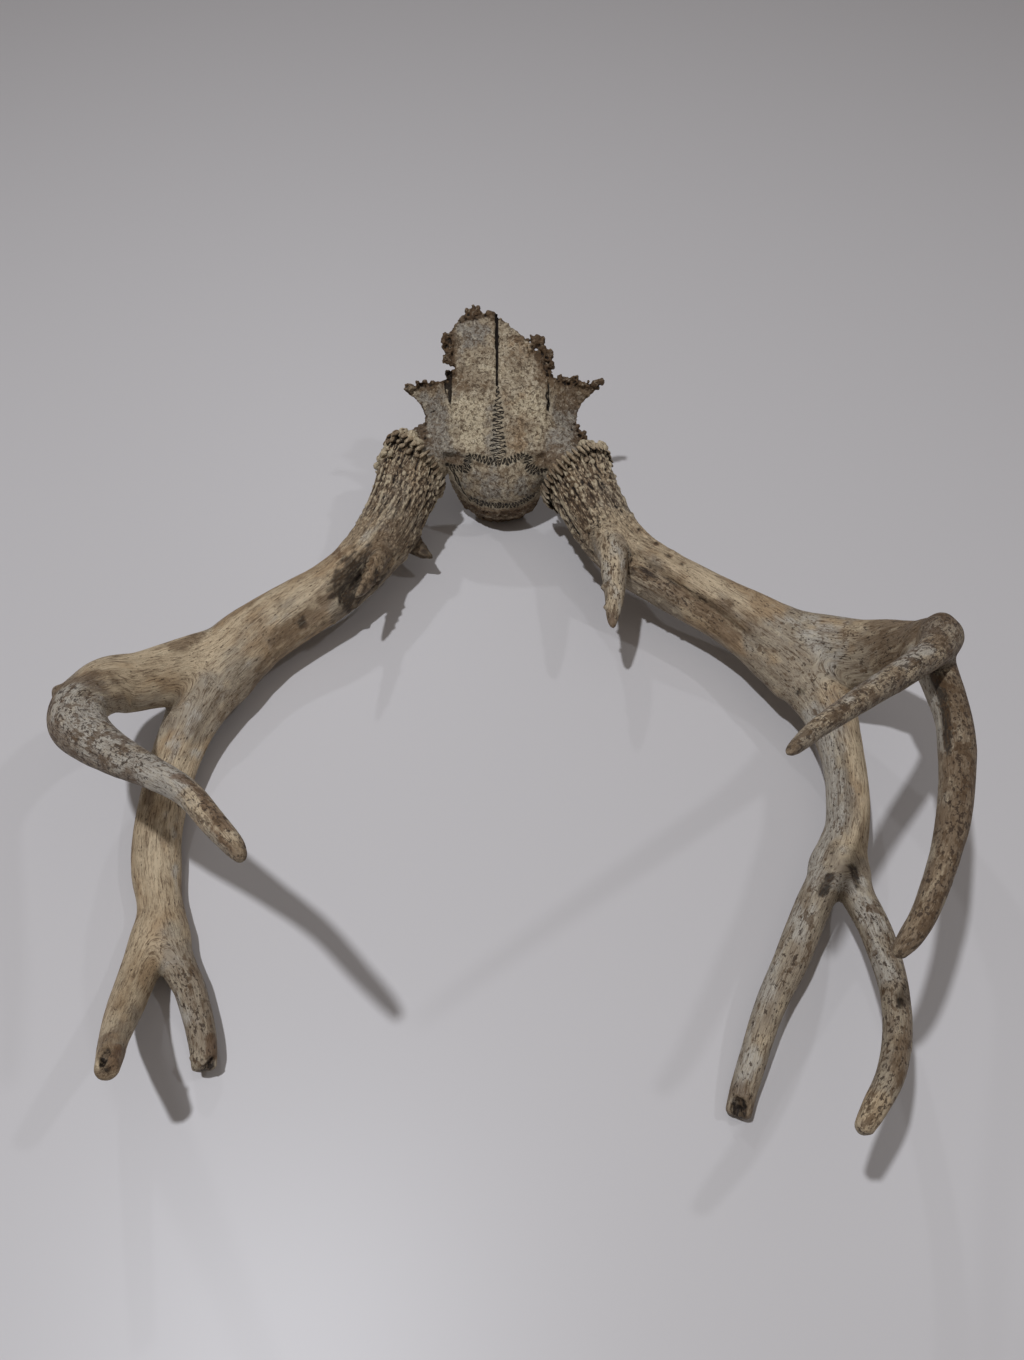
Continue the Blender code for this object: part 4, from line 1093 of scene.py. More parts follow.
def antler_mesh(side):
    """One antler's skin, from its branches to its relief."""
    antler = ANTLERS[side]
    branches, knobs = antler["branches"], antler["knobs"]
    skin = drawn_skin(branches, knobs)
    foot_cut(skin, *antler["burr"])
    bm = bmesh.new()
    bm.from_mesh(broken_off(skin, antler["breaks"]))
    add_burr(bm, placed(*antler["burr"]), CLUMPS[side], antler["seed"])
    skin = fused(as_mesh(bm, side + " antler"), FINE)
    points = neighbour_mean(skin, corners(skin), 2)
    move_corners(skin, points)
    depth, told, shares = skin_depth(points, branches, knobs)
    height = antler_relief(*own_places(told, shares).T)[0]
    height += spine_height(told, branches, shares, antler["spines"])
    broken = step_up(-depth, 0.8, 2.0)
    height += broken * 0.8 * rough_noise(points / 2.2, 2, 41)
    points = in_box(points + outward(skin) * height[:, None])
    move_corners(skin, points)
    skin, hollow, broken = thinned(skin, hollowness(skin, points, 14), broken)
    keep_looks(skin, antler, hollow, broken, COLLAR_SHADE_STRENGTH, 1)
    print(side, "antler:", len(skin.polygons), "faces, its relief up to", round(height.max(), 2), "mm")
    return skin


def crown_mesh(side):
    """The burr's own pearls, each free of its neighbours, with painted shade in the gaps and pale crests."""
    antler = ANTLERS[side]
    centre, axis = np.array(antler["burr"][0]), unit(np.array(antler["burr"][1]))
    mesh = pearls(CROWN_RINGS[side], placed(*antler["burr"]), antler["seed"])
    points = corners(mesh)
    points = in_box(points + outward(mesh) * (0.45 * rough_noise(points / 1.9, 2, 71))[:, None])
    move_corners(mesh, points)
    offset = points - centre
    # Painted shade: the less the skin faces outwards, the darker the finish paints it, so the gaps read as
    # deep.
    radial = unit(offset - np.outer(offset @ axis, axis))
    facing = (outward(mesh) * unit(radial + 0.45 * axis)).sum(1)
    hollow = np.clip(0.62 - 1.25 * facing, -0.4, 1)
    keep_looks(mesh, antler, hollow, 0 * facing, 0, CROWN_BARK)
    print(side, "crown:", len(mesh.polygons), "faces")
    return mesh


antler_skins = {}
crown_skins = {}
for side in ANTLERS:
    antler_skins[side] = antler_mesh(side)
    crown_skins[side] = crown_mesh(side)

# %% [markdown]
# ## The skull plate
#
# The plate is thin curved bone: a forehead that climbs at one slope, and the round wall of the
# braincase that curls down and under from it. It is drawn as rows of points across the skull, each
# row with its own left and right edge, so the broken outline comes from the rows. The surface then
# gets its thickness, the two stumps that carry the antlers, and the spongy lumps on its rim. The
# rows run from the nose end down; "up" is the distance up the forehead from the crown, and it is
# negative down the braincase.

# %% The plate's rows
PLATE_SLOPE = np.array((0.788, 0.616))      # the way the forehead climbs, in y and z
CROWN = np.array((177.0, 62.0))             # where the forehead meets the braincase, in y and z
MIDLINE_X = -8.0
PLATE_THICKNESS = 4.6
FOREHEAD = [        # (distance up from the crown, left half width, right half width)
    (101, -22, -14), (98, -25, -8), (95, -28, 1), (91.5, -31, 6), (87.5, -33, 11), (83.5, -34, 15.5),
    (79.5, -34, 20), (75, -34, 23), (70, -33, 26), (64, -31.5, 29), (60, -31, 31), (57, -31, 33),
    (55, -33, 52), (54, -46, 67), (52.5, -66, 69), (50, -66, 65), (46, -61, 61), (41, -57, 57),
    (34, -54, 54.5), (27, -52.5, 53), (20, -51, 52), (13, -48, 49), (6, -43, 44),
]
BRAINCASE = [       # (y, z, left half width, right half width, how far its sides fall back)
    (176.5, 61, -38, 38, 13), (171.5, 55, -38, 35, 15), (167.5, 48.5, -37, 33, 18),
    (165, 41.5, -36, 31, 20), (164.5, 35, -35, 30, 21), (166, 28, -33, 29, 21),
    (168.5, 20, -30, 27, 19), (171.5, 13, -27, 24, 15), (175, 9.5, -24, 21, 11),
    (181, 7, -22, 19, 9),
]
SIDE_DROP = 0.12        # how far the braincase's sides drop for each mm that they fall back


def sideways_fall(dx, up):
    """How far the forehead lies below its middle at a distance to the side."""
    outside = np.maximum(0, np.abs(dx) - 30)
    wing = outside * np.where(up < 40, 0.38, 0.30)
    rim = 0.004 * outside ** 2 * np.maximum(0, (up - 44) / 10)
    return 0.0016 * dx ** 2 + wing - rim


def forehead_points(dx, up, lift=0.0):
    sy, sz = PLATE_SLOPE
    lift = lift - sideways_fall(dx, up)
    up = up + 0 * dx
    y = CROWN[0] + up * sy - lift * sz
    z = CROWN[1] + up * sz + lift * sy
    return np.column_stack([MIDLINE_X + dx, y, z])


def plate_grid():
    shares = np.linspace(0, 1, 17)
    rows = [forehead_points(left + (right - left) * shares, up) for up, left, right in FOREHEAD]
    for y, z, left, right, back in BRAINCASE:
        dx = left + (right - left) * shares
        fall = back * (dx / max(-left, right)) ** 2
        rows.append(np.column_stack([MIDLINE_X + dx, y + fall, z - SIDE_DROP * fall]))
    rows = np.array(rows)
    finer = smooth_route(rows.reshape(len(rows), -1), 4).reshape(-1, len(shares), 3)
    finer = finer.transpose(1, 0, 2)
    finer = smooth_route(finer.reshape(len(shares), -1), 5).reshape(-1, finer.shape[1], 3)
    return finer.transpose(1, 0, 2)


grid = plate_grid()
print("plate grid:", grid.shape[0], "rows of", grid.shape[1])

# %% Read a place on the plate
slope_line = [CROWN + up * PLATE_SLOPE for up, *_ in FOREHEAD]
middle_line = np.array(slope_line + [row[:2] for row in BRAINCASE])
down_line = np.vstack([CROWN, middle_line[len(FOREHEAD):]])
braincase_drop = -np.cumsum(np.linalg.norm(np.diff(down_line, axis=0), axis=1))
middle_up = np.r_[[row[0] for row in FOREHEAD], braincase_drop]
left_edge = np.r_[[row[1] for row in FOREHEAD], [row[2] for row in BRAINCASE]]
right_edge = np.r_[[row[2] for row in FOREHEAD], [row[3] for row in BRAINCASE]]
back_fall = np.r_[[0.0] * len(FOREHEAD), [row[4] for row in BRAINCASE]]


def by_up(up, values):
    return np.interp(up, middle_up[::-1], values[::-1])


def on_plate(points):
    """Distance to the side of the midline, distance up the plate, and distance in from its edge."""
    dx = points[:, 0] - MIDLINE_X
    flat = points[:, 1:] - CROWN
    on_slope = flat @ PLATE_SLOPE
    fine_up = np.linspace(middle_up[-1], 6, 240)
    fine_line = np.column_stack([by_up(fine_up, middle_line[:, 0]), by_up(fine_up, middle_line[:, 1])])
    up = np.zeros(len(points))
    for _ in range(3):
        widest = np.maximum(-by_up(up, left_edge), by_up(up, right_edge))
        fall = by_up(up, back_fall) * np.minimum(np.abs(dx) / widest, 1.2) ** 2
        place = points[:, 1:] - np.column_stack([fall, -SIDE_DROP * fall])
        gaps = (fine_line ** 2).sum(1) - 2 * place @ fine_line.T
        up = fine_up[gaps.argmin(1)]
    share = step_up(on_slope, 1.0, 6.0)
    up = share * on_slope + (1 - share) * np.minimum(up, 5)
    edge = np.minimum(dx - by_up(up, left_edge), by_up(up, right_edge) - dx)
    return dx, up, np.minimum(edge, FOREHEAD[0][0] + 1 - up)

# %% [markdown]
# ## Sutures
#
# The bones of a skull meet in sutures, seams that fold back and forth like a zipper. Each one is a
# short list of places with the width of its folds. The mesh keeps, for every corner, how far along
# the nearest suture it is and how far to the side, and the shader draws the folds from that, so the
# line stays thin and sharp.

# %% The lines of the sutures
SEAM_MIDDLE = -1.0      # the sutures' midline lies a little left of the plate's, in mm
SAGITTAL, COMB, SCRIBBLE, CRACKED = (3.3, 0.38), (2.5, 0.56), (2.3, 0.50), (9.0, 0.45)
SUTURES = [     # fold length and half thickness of the line, then rows of (side, up, half width of folds)
    (SAGITTAL, [(-1.0, 51, 0.3), (-0.2, 41, 1.5), (0, 34, 2.8), (-0.6, 26, 3.0), (-0.6, 18, 3.4),
                (-0.8, 12, 4.6), (0, 5, 4.8), (0, -0.5, 5.0)]),
    (COMB, [(0, -0.8, 1.9), (-5.9, -0.5, 1.9), (-15.6, 1.6, 1.7), (-20, 2.4, 1.7), (-21.6, -1.8, 1.9),
            (-20.4, -4.8, 1.9), (-23.2, -9.2, 1.9), (-28.6, -11, 1.8), (-35, -11.5, 1.2)]),
    (COMB, [(0, -0.8, 1.9), (5.9, -0.6, 1.9), (12.4, 1.6, 1.7), (16.7, 3.6, 1.6), (20, 0.5, 1.9),
            (19.6, -4.3, 1.9), (22.1, -8, 2.0), (26.4, -11.6, 1.9), (31.5, -12.4, 1.3)]),
    (SCRIBBLE, [(-19.5, -32.5, 1.8), (-13, -34.5, 2.3), (-7, -34, 1.9), (0, -33.4, 2.4), (7, -34.8, 2.0),
                (13, -34.6, 2.2), (20, -32.4, 2.2), (25, -31, 1.4)]),
    (CRACKED, [(-34, -12, 0.3), (-29, -23, 0.5), (-25, -29, 0.4), (-20, -37, 0.3)]),
    (CRACKED, [(-31, -13, 0.5), (-29.5, -18, 0.4), (-26.5, -24, 0.5)]),
    (CRACKED, [(32.6, 46, 0.7), (33.4, 41, 0.9), (34.2, 35, 0.4)]),
]


def nearest_suture(dx, up):
    """For each place: how far along the nearest suture and beside it, its folds, and how near it is."""
    best = np.full(len(dx), FAR)
    seam = np.column_stack([np.zeros(len(dx)), np.full(len(dx), FAR), np.zeros(len(dx))])
    stitch = np.ones((len(dx), 3))
    for (fold_length, thickness), line in SUTURES:
        gone = 0.0
        for (x0, u0, h0), (x1, u1, h1) in zip(line, line[1:]):
            run = np.array((x1 - x0, u1 - u0))
            length = np.linalg.norm(run)
            off = np.column_stack([dx - SEAM_MIDDLE - x0, up - u0])
            share = np.clip(off @ run / length ** 2, 0, 1)
            beside = (off[:, 0] * run[1] - off[:, 1] * run[0]) / length
            gap = np.linalg.norm(off - share[:, None] * run, axis=1)
            closer = gap < best
            best[closer] = gap[closer]
            half = h0 + share * (h1 - h0)
            rows = np.column_stack([gone + share * length, np.copysign(gap, beside), half])
            seam[closer] = rows[closer]
            near = 1 - step_up(gap, half + 0.8, half + 2.4)
            stitch[closer] = np.column_stack([0 * gap + fold_length, 0 * gap + thickness, near])[closer]
            gone += length
    return seam, stitch


print("sutures and cracks:", len(SUTURES), "lines")

# %% [markdown]
# ## Growing the plate
#
# The plate is fused from its sheet, its stumps and its lumps in one voxel remesh, and then carved:
# the middle of the forehead stands a little proud of the wings, slots part them and are painted dark
# as shade, the broken rims crumble, and every suture lies in a shallow groove.

# %% The plate's stumps, lumps and slits
LEFT_STUMP = [
    (-36, 214, 62, 40, 34, 0), (-45, 208, 57, 38, 35, 0), (-54, 203, 52, 38, 36, 0),
    (-62, 195.5, 48.5, 41, 39, 0), (-66.2, 190.8, 46.9, 42, 40, 0),
]
RIGHT_STUMP = [
    (18, 212, 62, 40, 34, 0), (26, 203, 57, 38, 35, 0), (33, 195, 52, 38, 36, 0),
    (40, 186, 48.5, 41, 39, 0), (43, 180.2, 46.2, 42, 40, 0),
]
SPONGES = [         # clusters of crumbled lumps: (side, up, lift), their reach the same ways, how many
    ((-34.5, 75, -3), (4.0, 10, 2.6), 52), ((-32.5, 83, -2), (3, 3, 2), 12),
    ((24.5, 79, -2), (5.4, 5.0, 2.6), 46), ((30.5, 70, -3), (4.4, 5, 2.6), 40),
    ((-18.5, 99, -1), (4.2, 4.2, 1.6), 30), ((-7, 97, -1), (6.5, 1.6, 1.2), 18),
    ((46.5, 56, -8), (6, 2.4, 1.6), 26), ((67, 55, -11), (2.6, 2.0, 1.6), 9),
    ((56, 54.5, -10), (5, 1.4, 1.4), 18), ((-47, 53.5, -9), (10, 1.6, 1.4), 30),
    ((-62, 52.4, -11), (4, 1.5, 1.4), 10), ((55.5, 21, -13), (3.4, 5, 2.4), 14),
    ((-34, 58.5, -7), (3, 2.6, 2.4), 12), ((33, 61, -6), (2.6, 4.4, 2.4), 16),
]
LUMP_RADII = (1.1, 2.3)
REAR_RIM, REAR_RIM_RADII = (-9, 187.5, 3.5), (19, 6.5, 6.5)
SLITS = [           # openings in the forehead: rows of (up, left side, right side), and how deep each is
    ([(49.5, -2.3, -2.1), (51, -2.7, -1.7), (76, -3.0, -1.4), (96, -3.3, -1.2), (104, -3.4, -1.1)], 3.6),
    ([(38, -33.9, -33.6), (43, -35.4, -33.4), (48, -37.4, -33.2), (55, -38.6, -32.8),
      (62, -39, -32.6)], 4.2),
    ([(34, 33.0, 33.2), (38, 32.6, 33.6), (46, 32.2, 33.6), (48, 32.6, 33.0)], 1.6),
]
SKULL_VOXEL = 0.72

# %% Fuse the plate
def plate_sheet():
    """The grid as a sheet with the bone's thickness."""
    bm = bmesh.new()
    rows = [[bm.verts.new(point) for point in row] for row in grid]
    for one, two in zip(rows, rows[1:]):
        for a, b, c, d in zip(one, one[1:], two[1:], two):
            bm.faces.new((a, b, c, d))
    sheet = as_mesh(bm, "sheet")
    if sheet.polygons[0].normal.z < 0:
        sheet.flip_normals()
    obj = new_object("sheet", sheet)
    wall = obj.modifiers.new("wall", "SOLIDIFY")
    wall.thickness = PLATE_THICKNESS
    wall.offset = -1
    return worked_in(obj)


def sponge(bm, centre, reach, count, seed):
    """A cluster of small lumps on the forehead's rim."""
    scatter = np.random.default_rng(seed)
    for _ in range(count):
        side, up, lift = np.array(centre) + scatter.uniform(-1, 1, 3) * reach
        radius = scatter.uniform(*LUMP_RADII)
        drop = lift + sideways_fall(np.array(side), up)
        place = forehead_points(np.array([side]), up, drop)[0]
        ball(bm, placed(place), (radius,) * 3, 2)


def fused_plate():
    bm = bmesh.new()
    bm.from_mesh(plate_sheet())
    tube(bm, grow_branch("left stump", LEFT_STUMP))
    tube(bm, grow_branch("right stump", RIGHT_STUMP))
    for seed, (centre, reach, count) in enumerate(SPONGES):
        sponge(bm, centre, reach, count, seed)
    ball(bm, placed(REAR_RIM), REAR_RIM_RADII, 4)
    return fused(as_mesh(bm, "plate"), SKULL_VOXEL)


def slit_depth(dx, up):
    """How deep the openings cut below each place on the forehead."""
    depth = np.zeros(len(dx))
    for rows, deepest in SLITS:
        heights, left, right = np.array(rows).T
        wander = 0.35 * soft_noise(np.column_stack([up / 2.6, 0 * up, 0 * up]), 91)
        inside = np.minimum(dx - np.interp(up, heights, left), np.interp(up, heights, right) - dx) + wander
        first, last = heights[0], heights[-1]
        open_here = step_up(up, first, first + 1) * (1 - step_up(up, last - 1, last))
        depth = np.maximum(depth, deepest * open_here * step_up(inside, -0.35, 0.25))
    return depth

# %% The bone's colours and where they lie
BONE_TAN = from_srgb(158, 142, 118)
BONE_PALE = from_srgb(188, 173, 147)
CRUMB_BROWN = from_srgb(92, 69, 46)
CREAM_BONE, GREY_BONE, BROWN_BONE, TAN_BONE = BONE_KINDS = range(4)
BONE_PAINTS = [         # kind, colour and strength, in the order they are laid on
    (CREAM_BONE, from_srgb(214, 199, 168), 0.8), (TAN_BONE, from_srgb(168, 141, 108), 0.7),
    (GREY_BONE, from_srgb(150, 145, 135), 0.85), (BROWN_BONE, from_srgb(110, 86, 60), 0.75),
]
BONE_PATCHES = [        # (side, up, reach to the side, reach up, kind, strength)
    (-18, 24, 12, 18, CREAM_BONE, 1.0), (-26, 36, 8, 8, CREAM_BONE, 0.8), (22, 38, 12, 10, CREAM_BONE, 0.8),
    (-12, 66, 14, 9, CREAM_BONE, 0.5), (10, 62, 14, 8, CREAM_BONE, 0.4), (26, 20, 7, 10, CREAM_BONE, 0.6),
    (-5, 14, 6, 20, GREY_BONE, 0.7), (-20, 84, 14, 12, GREY_BONE, 0.9), (-47, 28, 13, 26, GREY_BONE, 1.0),
    (47, 26, 14, 26, GREY_BONE, 1.0), (-36, 2, 12, 12, GREY_BONE, 0.9), (38, 4, 14, 12, GREY_BONE, 0.8),
    (12, 16, 10, 12, TAN_BONE, 0.9), (2, 44, 18, 9, TAN_BONE, 0.4), (12, 75, 14, 14, TAN_BONE, 0.5),
    (0, -20, 34, 12, GREY_BONE, 0.6), (-14, 50, 18, 5, BROWN_BONE, 0.35), (12, 82, 9, 2.5, BROWN_BONE, 0.6),
    (-24, 58, 8, 6, BROWN_BONE, 0.35), (-20, 72, 12, 4, BROWN_BONE, 0.35), (14, 34, 8, 8, CREAM_BONE, 0.6),
    (-50, 53, 18, 4, BROWN_BONE, 1.0), (52, 53, 20, 7, BROWN_BONE, 1.2), (60, 20, 6, 9, BROWN_BONE, 1.3),
    (46, 42, 12, 8, BROWN_BONE, 0.8), (-30, -4, 10, 8, BROWN_BONE, 1.0), (32, -2, 12, 10, BROWN_BONE, 1.1),
    (-36, 74, 6, 17, BROWN_BONE, 1.3), (31, 73, 8, 14, BROWN_BONE, 1.3), (0, -44, 26, 6, TAN_BONE, 1.0),
    (5, -44, 6, 4, BROWN_BONE, 1.2), (-18, 99, 8, 4, BROWN_BONE, 0.7), (0, 97, 9, 2.5, BROWN_BONE, 0.7),
    (-20, -44, 8, 5, BROWN_BONE, 0.8), (20, -44, 9, 5, BROWN_BONE, 0.8), (0, -9, 30, 5, BROWN_BONE, 0.4),
]


def bone_masks(dx, up):
    masks = np.zeros((len(dx), len(BONE_KINDS)))
    for side, high, reach_side, reach_up, kind, strength in BONE_PATCHES:
        masks[:, kind] += strength * bell(dx - side, reach_side) * bell(up - high, reach_up)
    return np.clip(masks, 0, 1)


def bone_ground(points, dx, up, crumbled):
    """The ground colour of bone: cream to tan, its patches, and brown crumbled rims."""
    masks = bone_masks(dx, up)
    cloud = step_up(rough_noise(points * 0.16, 4, 92), -0.35, 0.35)
    ground = layer(np.tile(BONE_TAN, (len(dx), 1)), BONE_PALE, cloud)
    for kind, colour, strength in BONE_PAINTS:
        ground = layer(ground, colour, strength * ragged(masks[:, kind], points, 6, 93 + kind))
    return layer(ground, CRUMB_BROWN, 0.75 * ragged(0.95 * crumbled, points, 3, 98))

# %% The plate's relief
PROUD = 1.5                     # how far the forehead's middle stands over its wings, in mm
LEDGE_LEFT, LEDGE_RIGHT = 33.4, 32.2        # how far from the midline it ends
SLOT_DEPTH = 2.6                # depth of the slot beside the right ledge
DISH_DEPTH = 3.0                # depth of the dished brow wings
SEAM_DEPTH = 0.45               # depth of the groove that a suture lies in


def crumbled_rims(dx, up, edge):
    """1 on the broken rims: the plate's edge, both brow corners, the front tip and the rear rim."""
    aside = np.abs(dx)
    crumbled = np.exp(-np.maximum(edge, 0) / 2.2) * step_up(up, 4, 16)
    crumbled = np.maximum(crumbled, step_up(aside, 30, 33) * step_up(up, 55, 58))
    crumbled = np.maximum(crumbled, step_up(aside, 36, 40) * step_up(up, 51, 54.5))
    crumbled = np.maximum(crumbled, step_up(up - 0.25 * dx, 97, 101))
    return np.maximum(crumbled, 0.75 * (1 - step_up(up, -46, -38)))


def skull_relief(points, dx, up, edge, seam):
    """Height of the plate's relief, the height it stands proud, and how crumbled each place is."""
    wander = 1.2 * soft_noise(np.column_stack([up / 6, dx * 0, dx * 0]), 3)
    ledge = np.where(dx < 0, LEDGE_LEFT, LEDGE_RIGHT) + wander
    proud = PROUD * step_up(ledge - np.abs(dx), -0.7, 0.7) * step_up(up, 14, 34)
    slot = bell(dx - ledge - 0.9, 0.9) * step_up(up, 33, 38) * (1 - step_up(up, 50, 54))
    dish = bell(np.abs(dx) - 48, 9) * bell(up - 41, 11)
    crumbled = crumbled_rims(dx, up, edge)
    grit = rough_noise(points / 2.6, 3, 51)
    hole, chance = nearest_dot(points / 3.0, 53)
    pore = bell(hole, 0.36)
    fold = bell(seam[:, 1], 0.7 + 0.8 * seam[:, 2])
    height = 0.5 * rough_noise(points / 11, 2, 57)
    height -= SLOT_DEPTH * slot + DISH_DEPTH * dish + SEAM_DEPTH * fold
    height += (0.26 + 1.2 * crumbled) * grit - (0.1 + 2.0 * crumbled) * pore * (chance > 0.35)
    return height, proud, crumbled

# %% Carve the plate and keep its looks
def skull_mesh():
    skin = fused_plate()
    points = corners(skin)
    dx, up, edge = on_plate(points)
    eased = (1 - step_up(up, 6, 14)) * step_up(up, -14, -6)
    points += eased[:, None] * (neighbour_mean(skin, points, 30) - points)
    move_corners(skin, points)
    facing = outward(skin)
    height, proud, crumbled = skull_relief(points, dx, up, edge, nearest_suture(dx, up)[0])
    rise = np.array((0, -PLATE_SLOPE[1], PLATE_SLOPE[0]))
    on_top = step_up(facing @ rise, 0.1, 0.6)
    deep = slit_depth(dx, up) * on_top
    points = in_box(points + facing * height[:, None] + np.outer(proud * on_top - deep, rise))
    move_corners(skin, points)
    # How hollow each place is, with the slits counted deepest; the finish paints shade from it.
    hollow = np.maximum(hollowness(skin, points, 12), step_up(deep, 0.6, 2.0))
    skin, hollow, crumbled = thinned(skin, hollow, crumbled)
    points = corners(skin)
    dx, up, _ = on_plate(points)
    seam, stitch = nearest_suture(dx, up)
    store(skin, "plate", "FLOAT_VECTOR", np.column_stack([dx, up, 0 * up]))
    store(skin, "seam", "FLOAT_VECTOR", seam)
    store(skin, "stitch", "FLOAT_VECTOR", stitch)
    store(skin, "ground", "FLOAT_COLOR", bone_ground(points, dx, up, crumbled))
    store(skin, "wear_and_shade", "FLOAT_COLOR", np.column_stack([crumbled, 0.5 + 0.5 * hollow, 0 * up, 0 * up]))
    print("skull piece:", len(skin.polygons), "faces")
    return skin


plate_skin = skull_mesh()

# %% [markdown]
# ## Shader parts for the finishes
#
# The finishes are put together from a few effects: long streaks that follow the grain, a bark of
# pearls and wavy ridges, single pores, and small dark freckles, which bone and antler share. Each
# is a node group, so that the same effect can be laid on again with other values. A group gives
# only masks and heights; the shader itself stays in the material.

# %% Small helpers for shader nodes
COLOUR_BELOW, COLOUR_ABOVE, MIXED = 6, 7, 2     # where a Mix node's colour sockets stand among its others


def maths(tree, operation, *values, clamp=False):
    given = dict(enumerate(values))
    return add_node(tree, "ShaderNodeMath", given, operation=operation, use_clamp=clamp).outputs[0]


def scaled(tree, vector, factors):
    given = {0: vector, 1: factors}
    return add_node(tree, "ShaderNodeVectorMath", given, operation="MULTIPLY").outputs[0]


def split(tree, vector):
    """The three parts of a vector."""
    return add_node(tree, "ShaderNodeSeparateXYZ", {0: vector}).outputs


def noise(tree, vector, scale, detail=4.0, roughness=0.6, distortion=0.0):
    return add_node(tree, "ShaderNodeTexNoise", {
        "Vector": vector, "Scale": scale, "Detail": detail, "Roughness": roughness,
        "Distortion": distortion}).outputs["Fac"]


def ramp(tree, value, low, high, start=0.0, end=1.0):
    """An easy rise from start to end as value goes from low to high."""
    return add_node(tree, "ShaderNodeMapRange", {
        "Value": value, "From Min": low, "From Max": high, "To Min": start, "To Max": end},
        interpolation_type="SMOOTHSTEP").outputs["Result"]


def product(tree, one, two):
    return maths(tree, "MULTIPLY", one, two)


def lay(tree, coats, colour):
    """Lay coats over a colour in turn, each where its own mask says so and as strongly as it says."""
    for coat, mask, strength in coats:
        given = {"Factor": product(tree, mask, strength), COLOUR_BELOW: colour, COLOUR_ABOVE: coat}
        colour = add_node(tree, "ShaderNodeMix", given, data_type="RGBA").outputs[MIXED]
    return colour


def attribute(tree, name):
    return add_node(tree, "ShaderNodeAttribute", attribute_name=name).outputs

# %% Helpers for effects
def effect(name, outputs, **inputs):
    """An empty shader group: the tree, what goes in and what comes out. A None input is a vector."""
    tree = bpy.data.node_groups.new(name, "ShaderNodeTree")
    for socket_name, value in inputs.items():
        kind = "NodeSocketVector" if value is None else "NodeSocketFloat"
        socket = tree.interface.new_socket(socket_name, in_out="INPUT", socket_type=kind)
        if value is not None:
            socket.default_value = value
    for socket_name in outputs:
        tree.interface.new_socket(socket_name, in_out="OUTPUT", socket_type="NodeSocketFloat")
    return tree, add_node(tree, "NodeGroupInput").outputs, add_node(tree, "NodeGroupOutput").inputs


def use_effect(tree, group, **given):
    """Place a group in a tree with its own values."""
    return add_node(tree, "ShaderNodeGroup", node_tree=group, given=given).outputs


def strayed(tree, vector, scale, reach):
    """A vector pushed about by noise, so that what is drawn from it loses its regularity."""
    cloud = add_node(tree, "ShaderNodeTexNoise", {"Vector": vector, "Scale": scale, "Detail": 1.0})
    return add_node(tree, "ShaderNodeVectorMath", {
        0: cloud.outputs["Color"], 1: (reach, reach, reach), 2: vector},
        operation="MULTIPLY_ADD").outputs[0]


def cells(tree, vector, scale, feature):
    given = {"Vector": vector, "Scale": scale}
    return add_node(tree, "ShaderNodeTexVoronoi", given, feature=feature).outputs


def cell_chance(tree, colour):
    """A random number for each cell, from the random colour that it is given."""
    return add_node(tree, "ShaderNodeSeparateColor", {0: colour}).outputs[0]

# %% The effects
def long_grain_effect():
    tree, given, out = effect("long grain", ["Mask", "Height"], Grain=None, Width=1.0, Low=0.45, High=0.62)
    fine = scaled(tree, given["Grain"], (1, 1, 0.09))
    thread = noise(tree, fine, maths(tree, "DIVIDE", 1.0, given["Width"]), 4.0, 0.7)
    plug(tree, ramp(tree, thread, given["Low"], given["High"]), out["Mask"])
    plug(tree, thread, out["Height"])
    return tree


def bark_effect():
    tree, given, out = effect("bark", ["Height", "Chance"], Grain=None, Size=2.0)
    wavy = strayed(tree, given["Grain"], 0.35, 2.0)
    fine = maths(tree, "DIVIDE", 1.0, given["Size"])
    lumps = scaled(tree, wavy, (1, 1, 0.45))
    gap = cells(tree, lumps, fine, "DISTANCE_TO_EDGE")["Distance"]
    pearl = ramp(tree, gap, 0.0, 0.30)
    thread = noise(tree, scaled(tree, wavy, (1, 1, 0.15)), fine, 2.0, 0.6)
    ridge = maths(tree, "ABSOLUTE", maths(tree, "MULTIPLY_ADD", thread, 4.0, -2.0))
    crest = maths(tree, "SUBTRACT", 1.0, ridge, clamp=True)
    plug(tree, maths(tree, "MULTIPLY_ADD", crest, 0.62, product(tree, pearl, 0.38)), out["Height"])
    plug(tree, cell_chance(tree, cells(tree, lumps, fine, "F1")["Color"]), out["Chance"])
    return tree


def pore_effect():
    tree, given, out = effect("pores", ["Mask"], Place=None, Size=2.0, Amount=0.5)
    fine = maths(tree, "DIVIDE", 1.0, given["Size"])
    dots = cells(tree, strayed(tree, given["Place"], 0.6, 0.8), fine, "F1")
    here = maths(tree, "LESS_THAN", cell_chance(tree, dots["Color"]), given["Amount"])
    plug(tree, product(tree, ramp(tree, dots["Distance"], 0.34, 0.16), here), out["Mask"])
    return tree


def freckle_effect():
    tree, given, out = effect("freckles", ["Mask"], Place=None, Size=1.0, Amount=0.5)
    speck = noise(tree, given["Place"], maths(tree, "DIVIDE", 1.0, given["Size"]), 3.0, 0.7, 0.1)
    edge = maths(tree, "SUBTRACT", 0.78, product(tree, given["Amount"], 0.32))
    plug(tree, ramp(tree, speck, edge, maths(tree, "ADD", edge, 0.055)), out["Mask"])
    return tree


LONG_GRAIN = long_grain_effect()
BARK = bark_effect()
PORES = pore_effect()
FRECKLES = freckle_effect()
print("effects:", [group.name for group in (LONG_GRAIN, BARK, PORES, FRECKLES)])

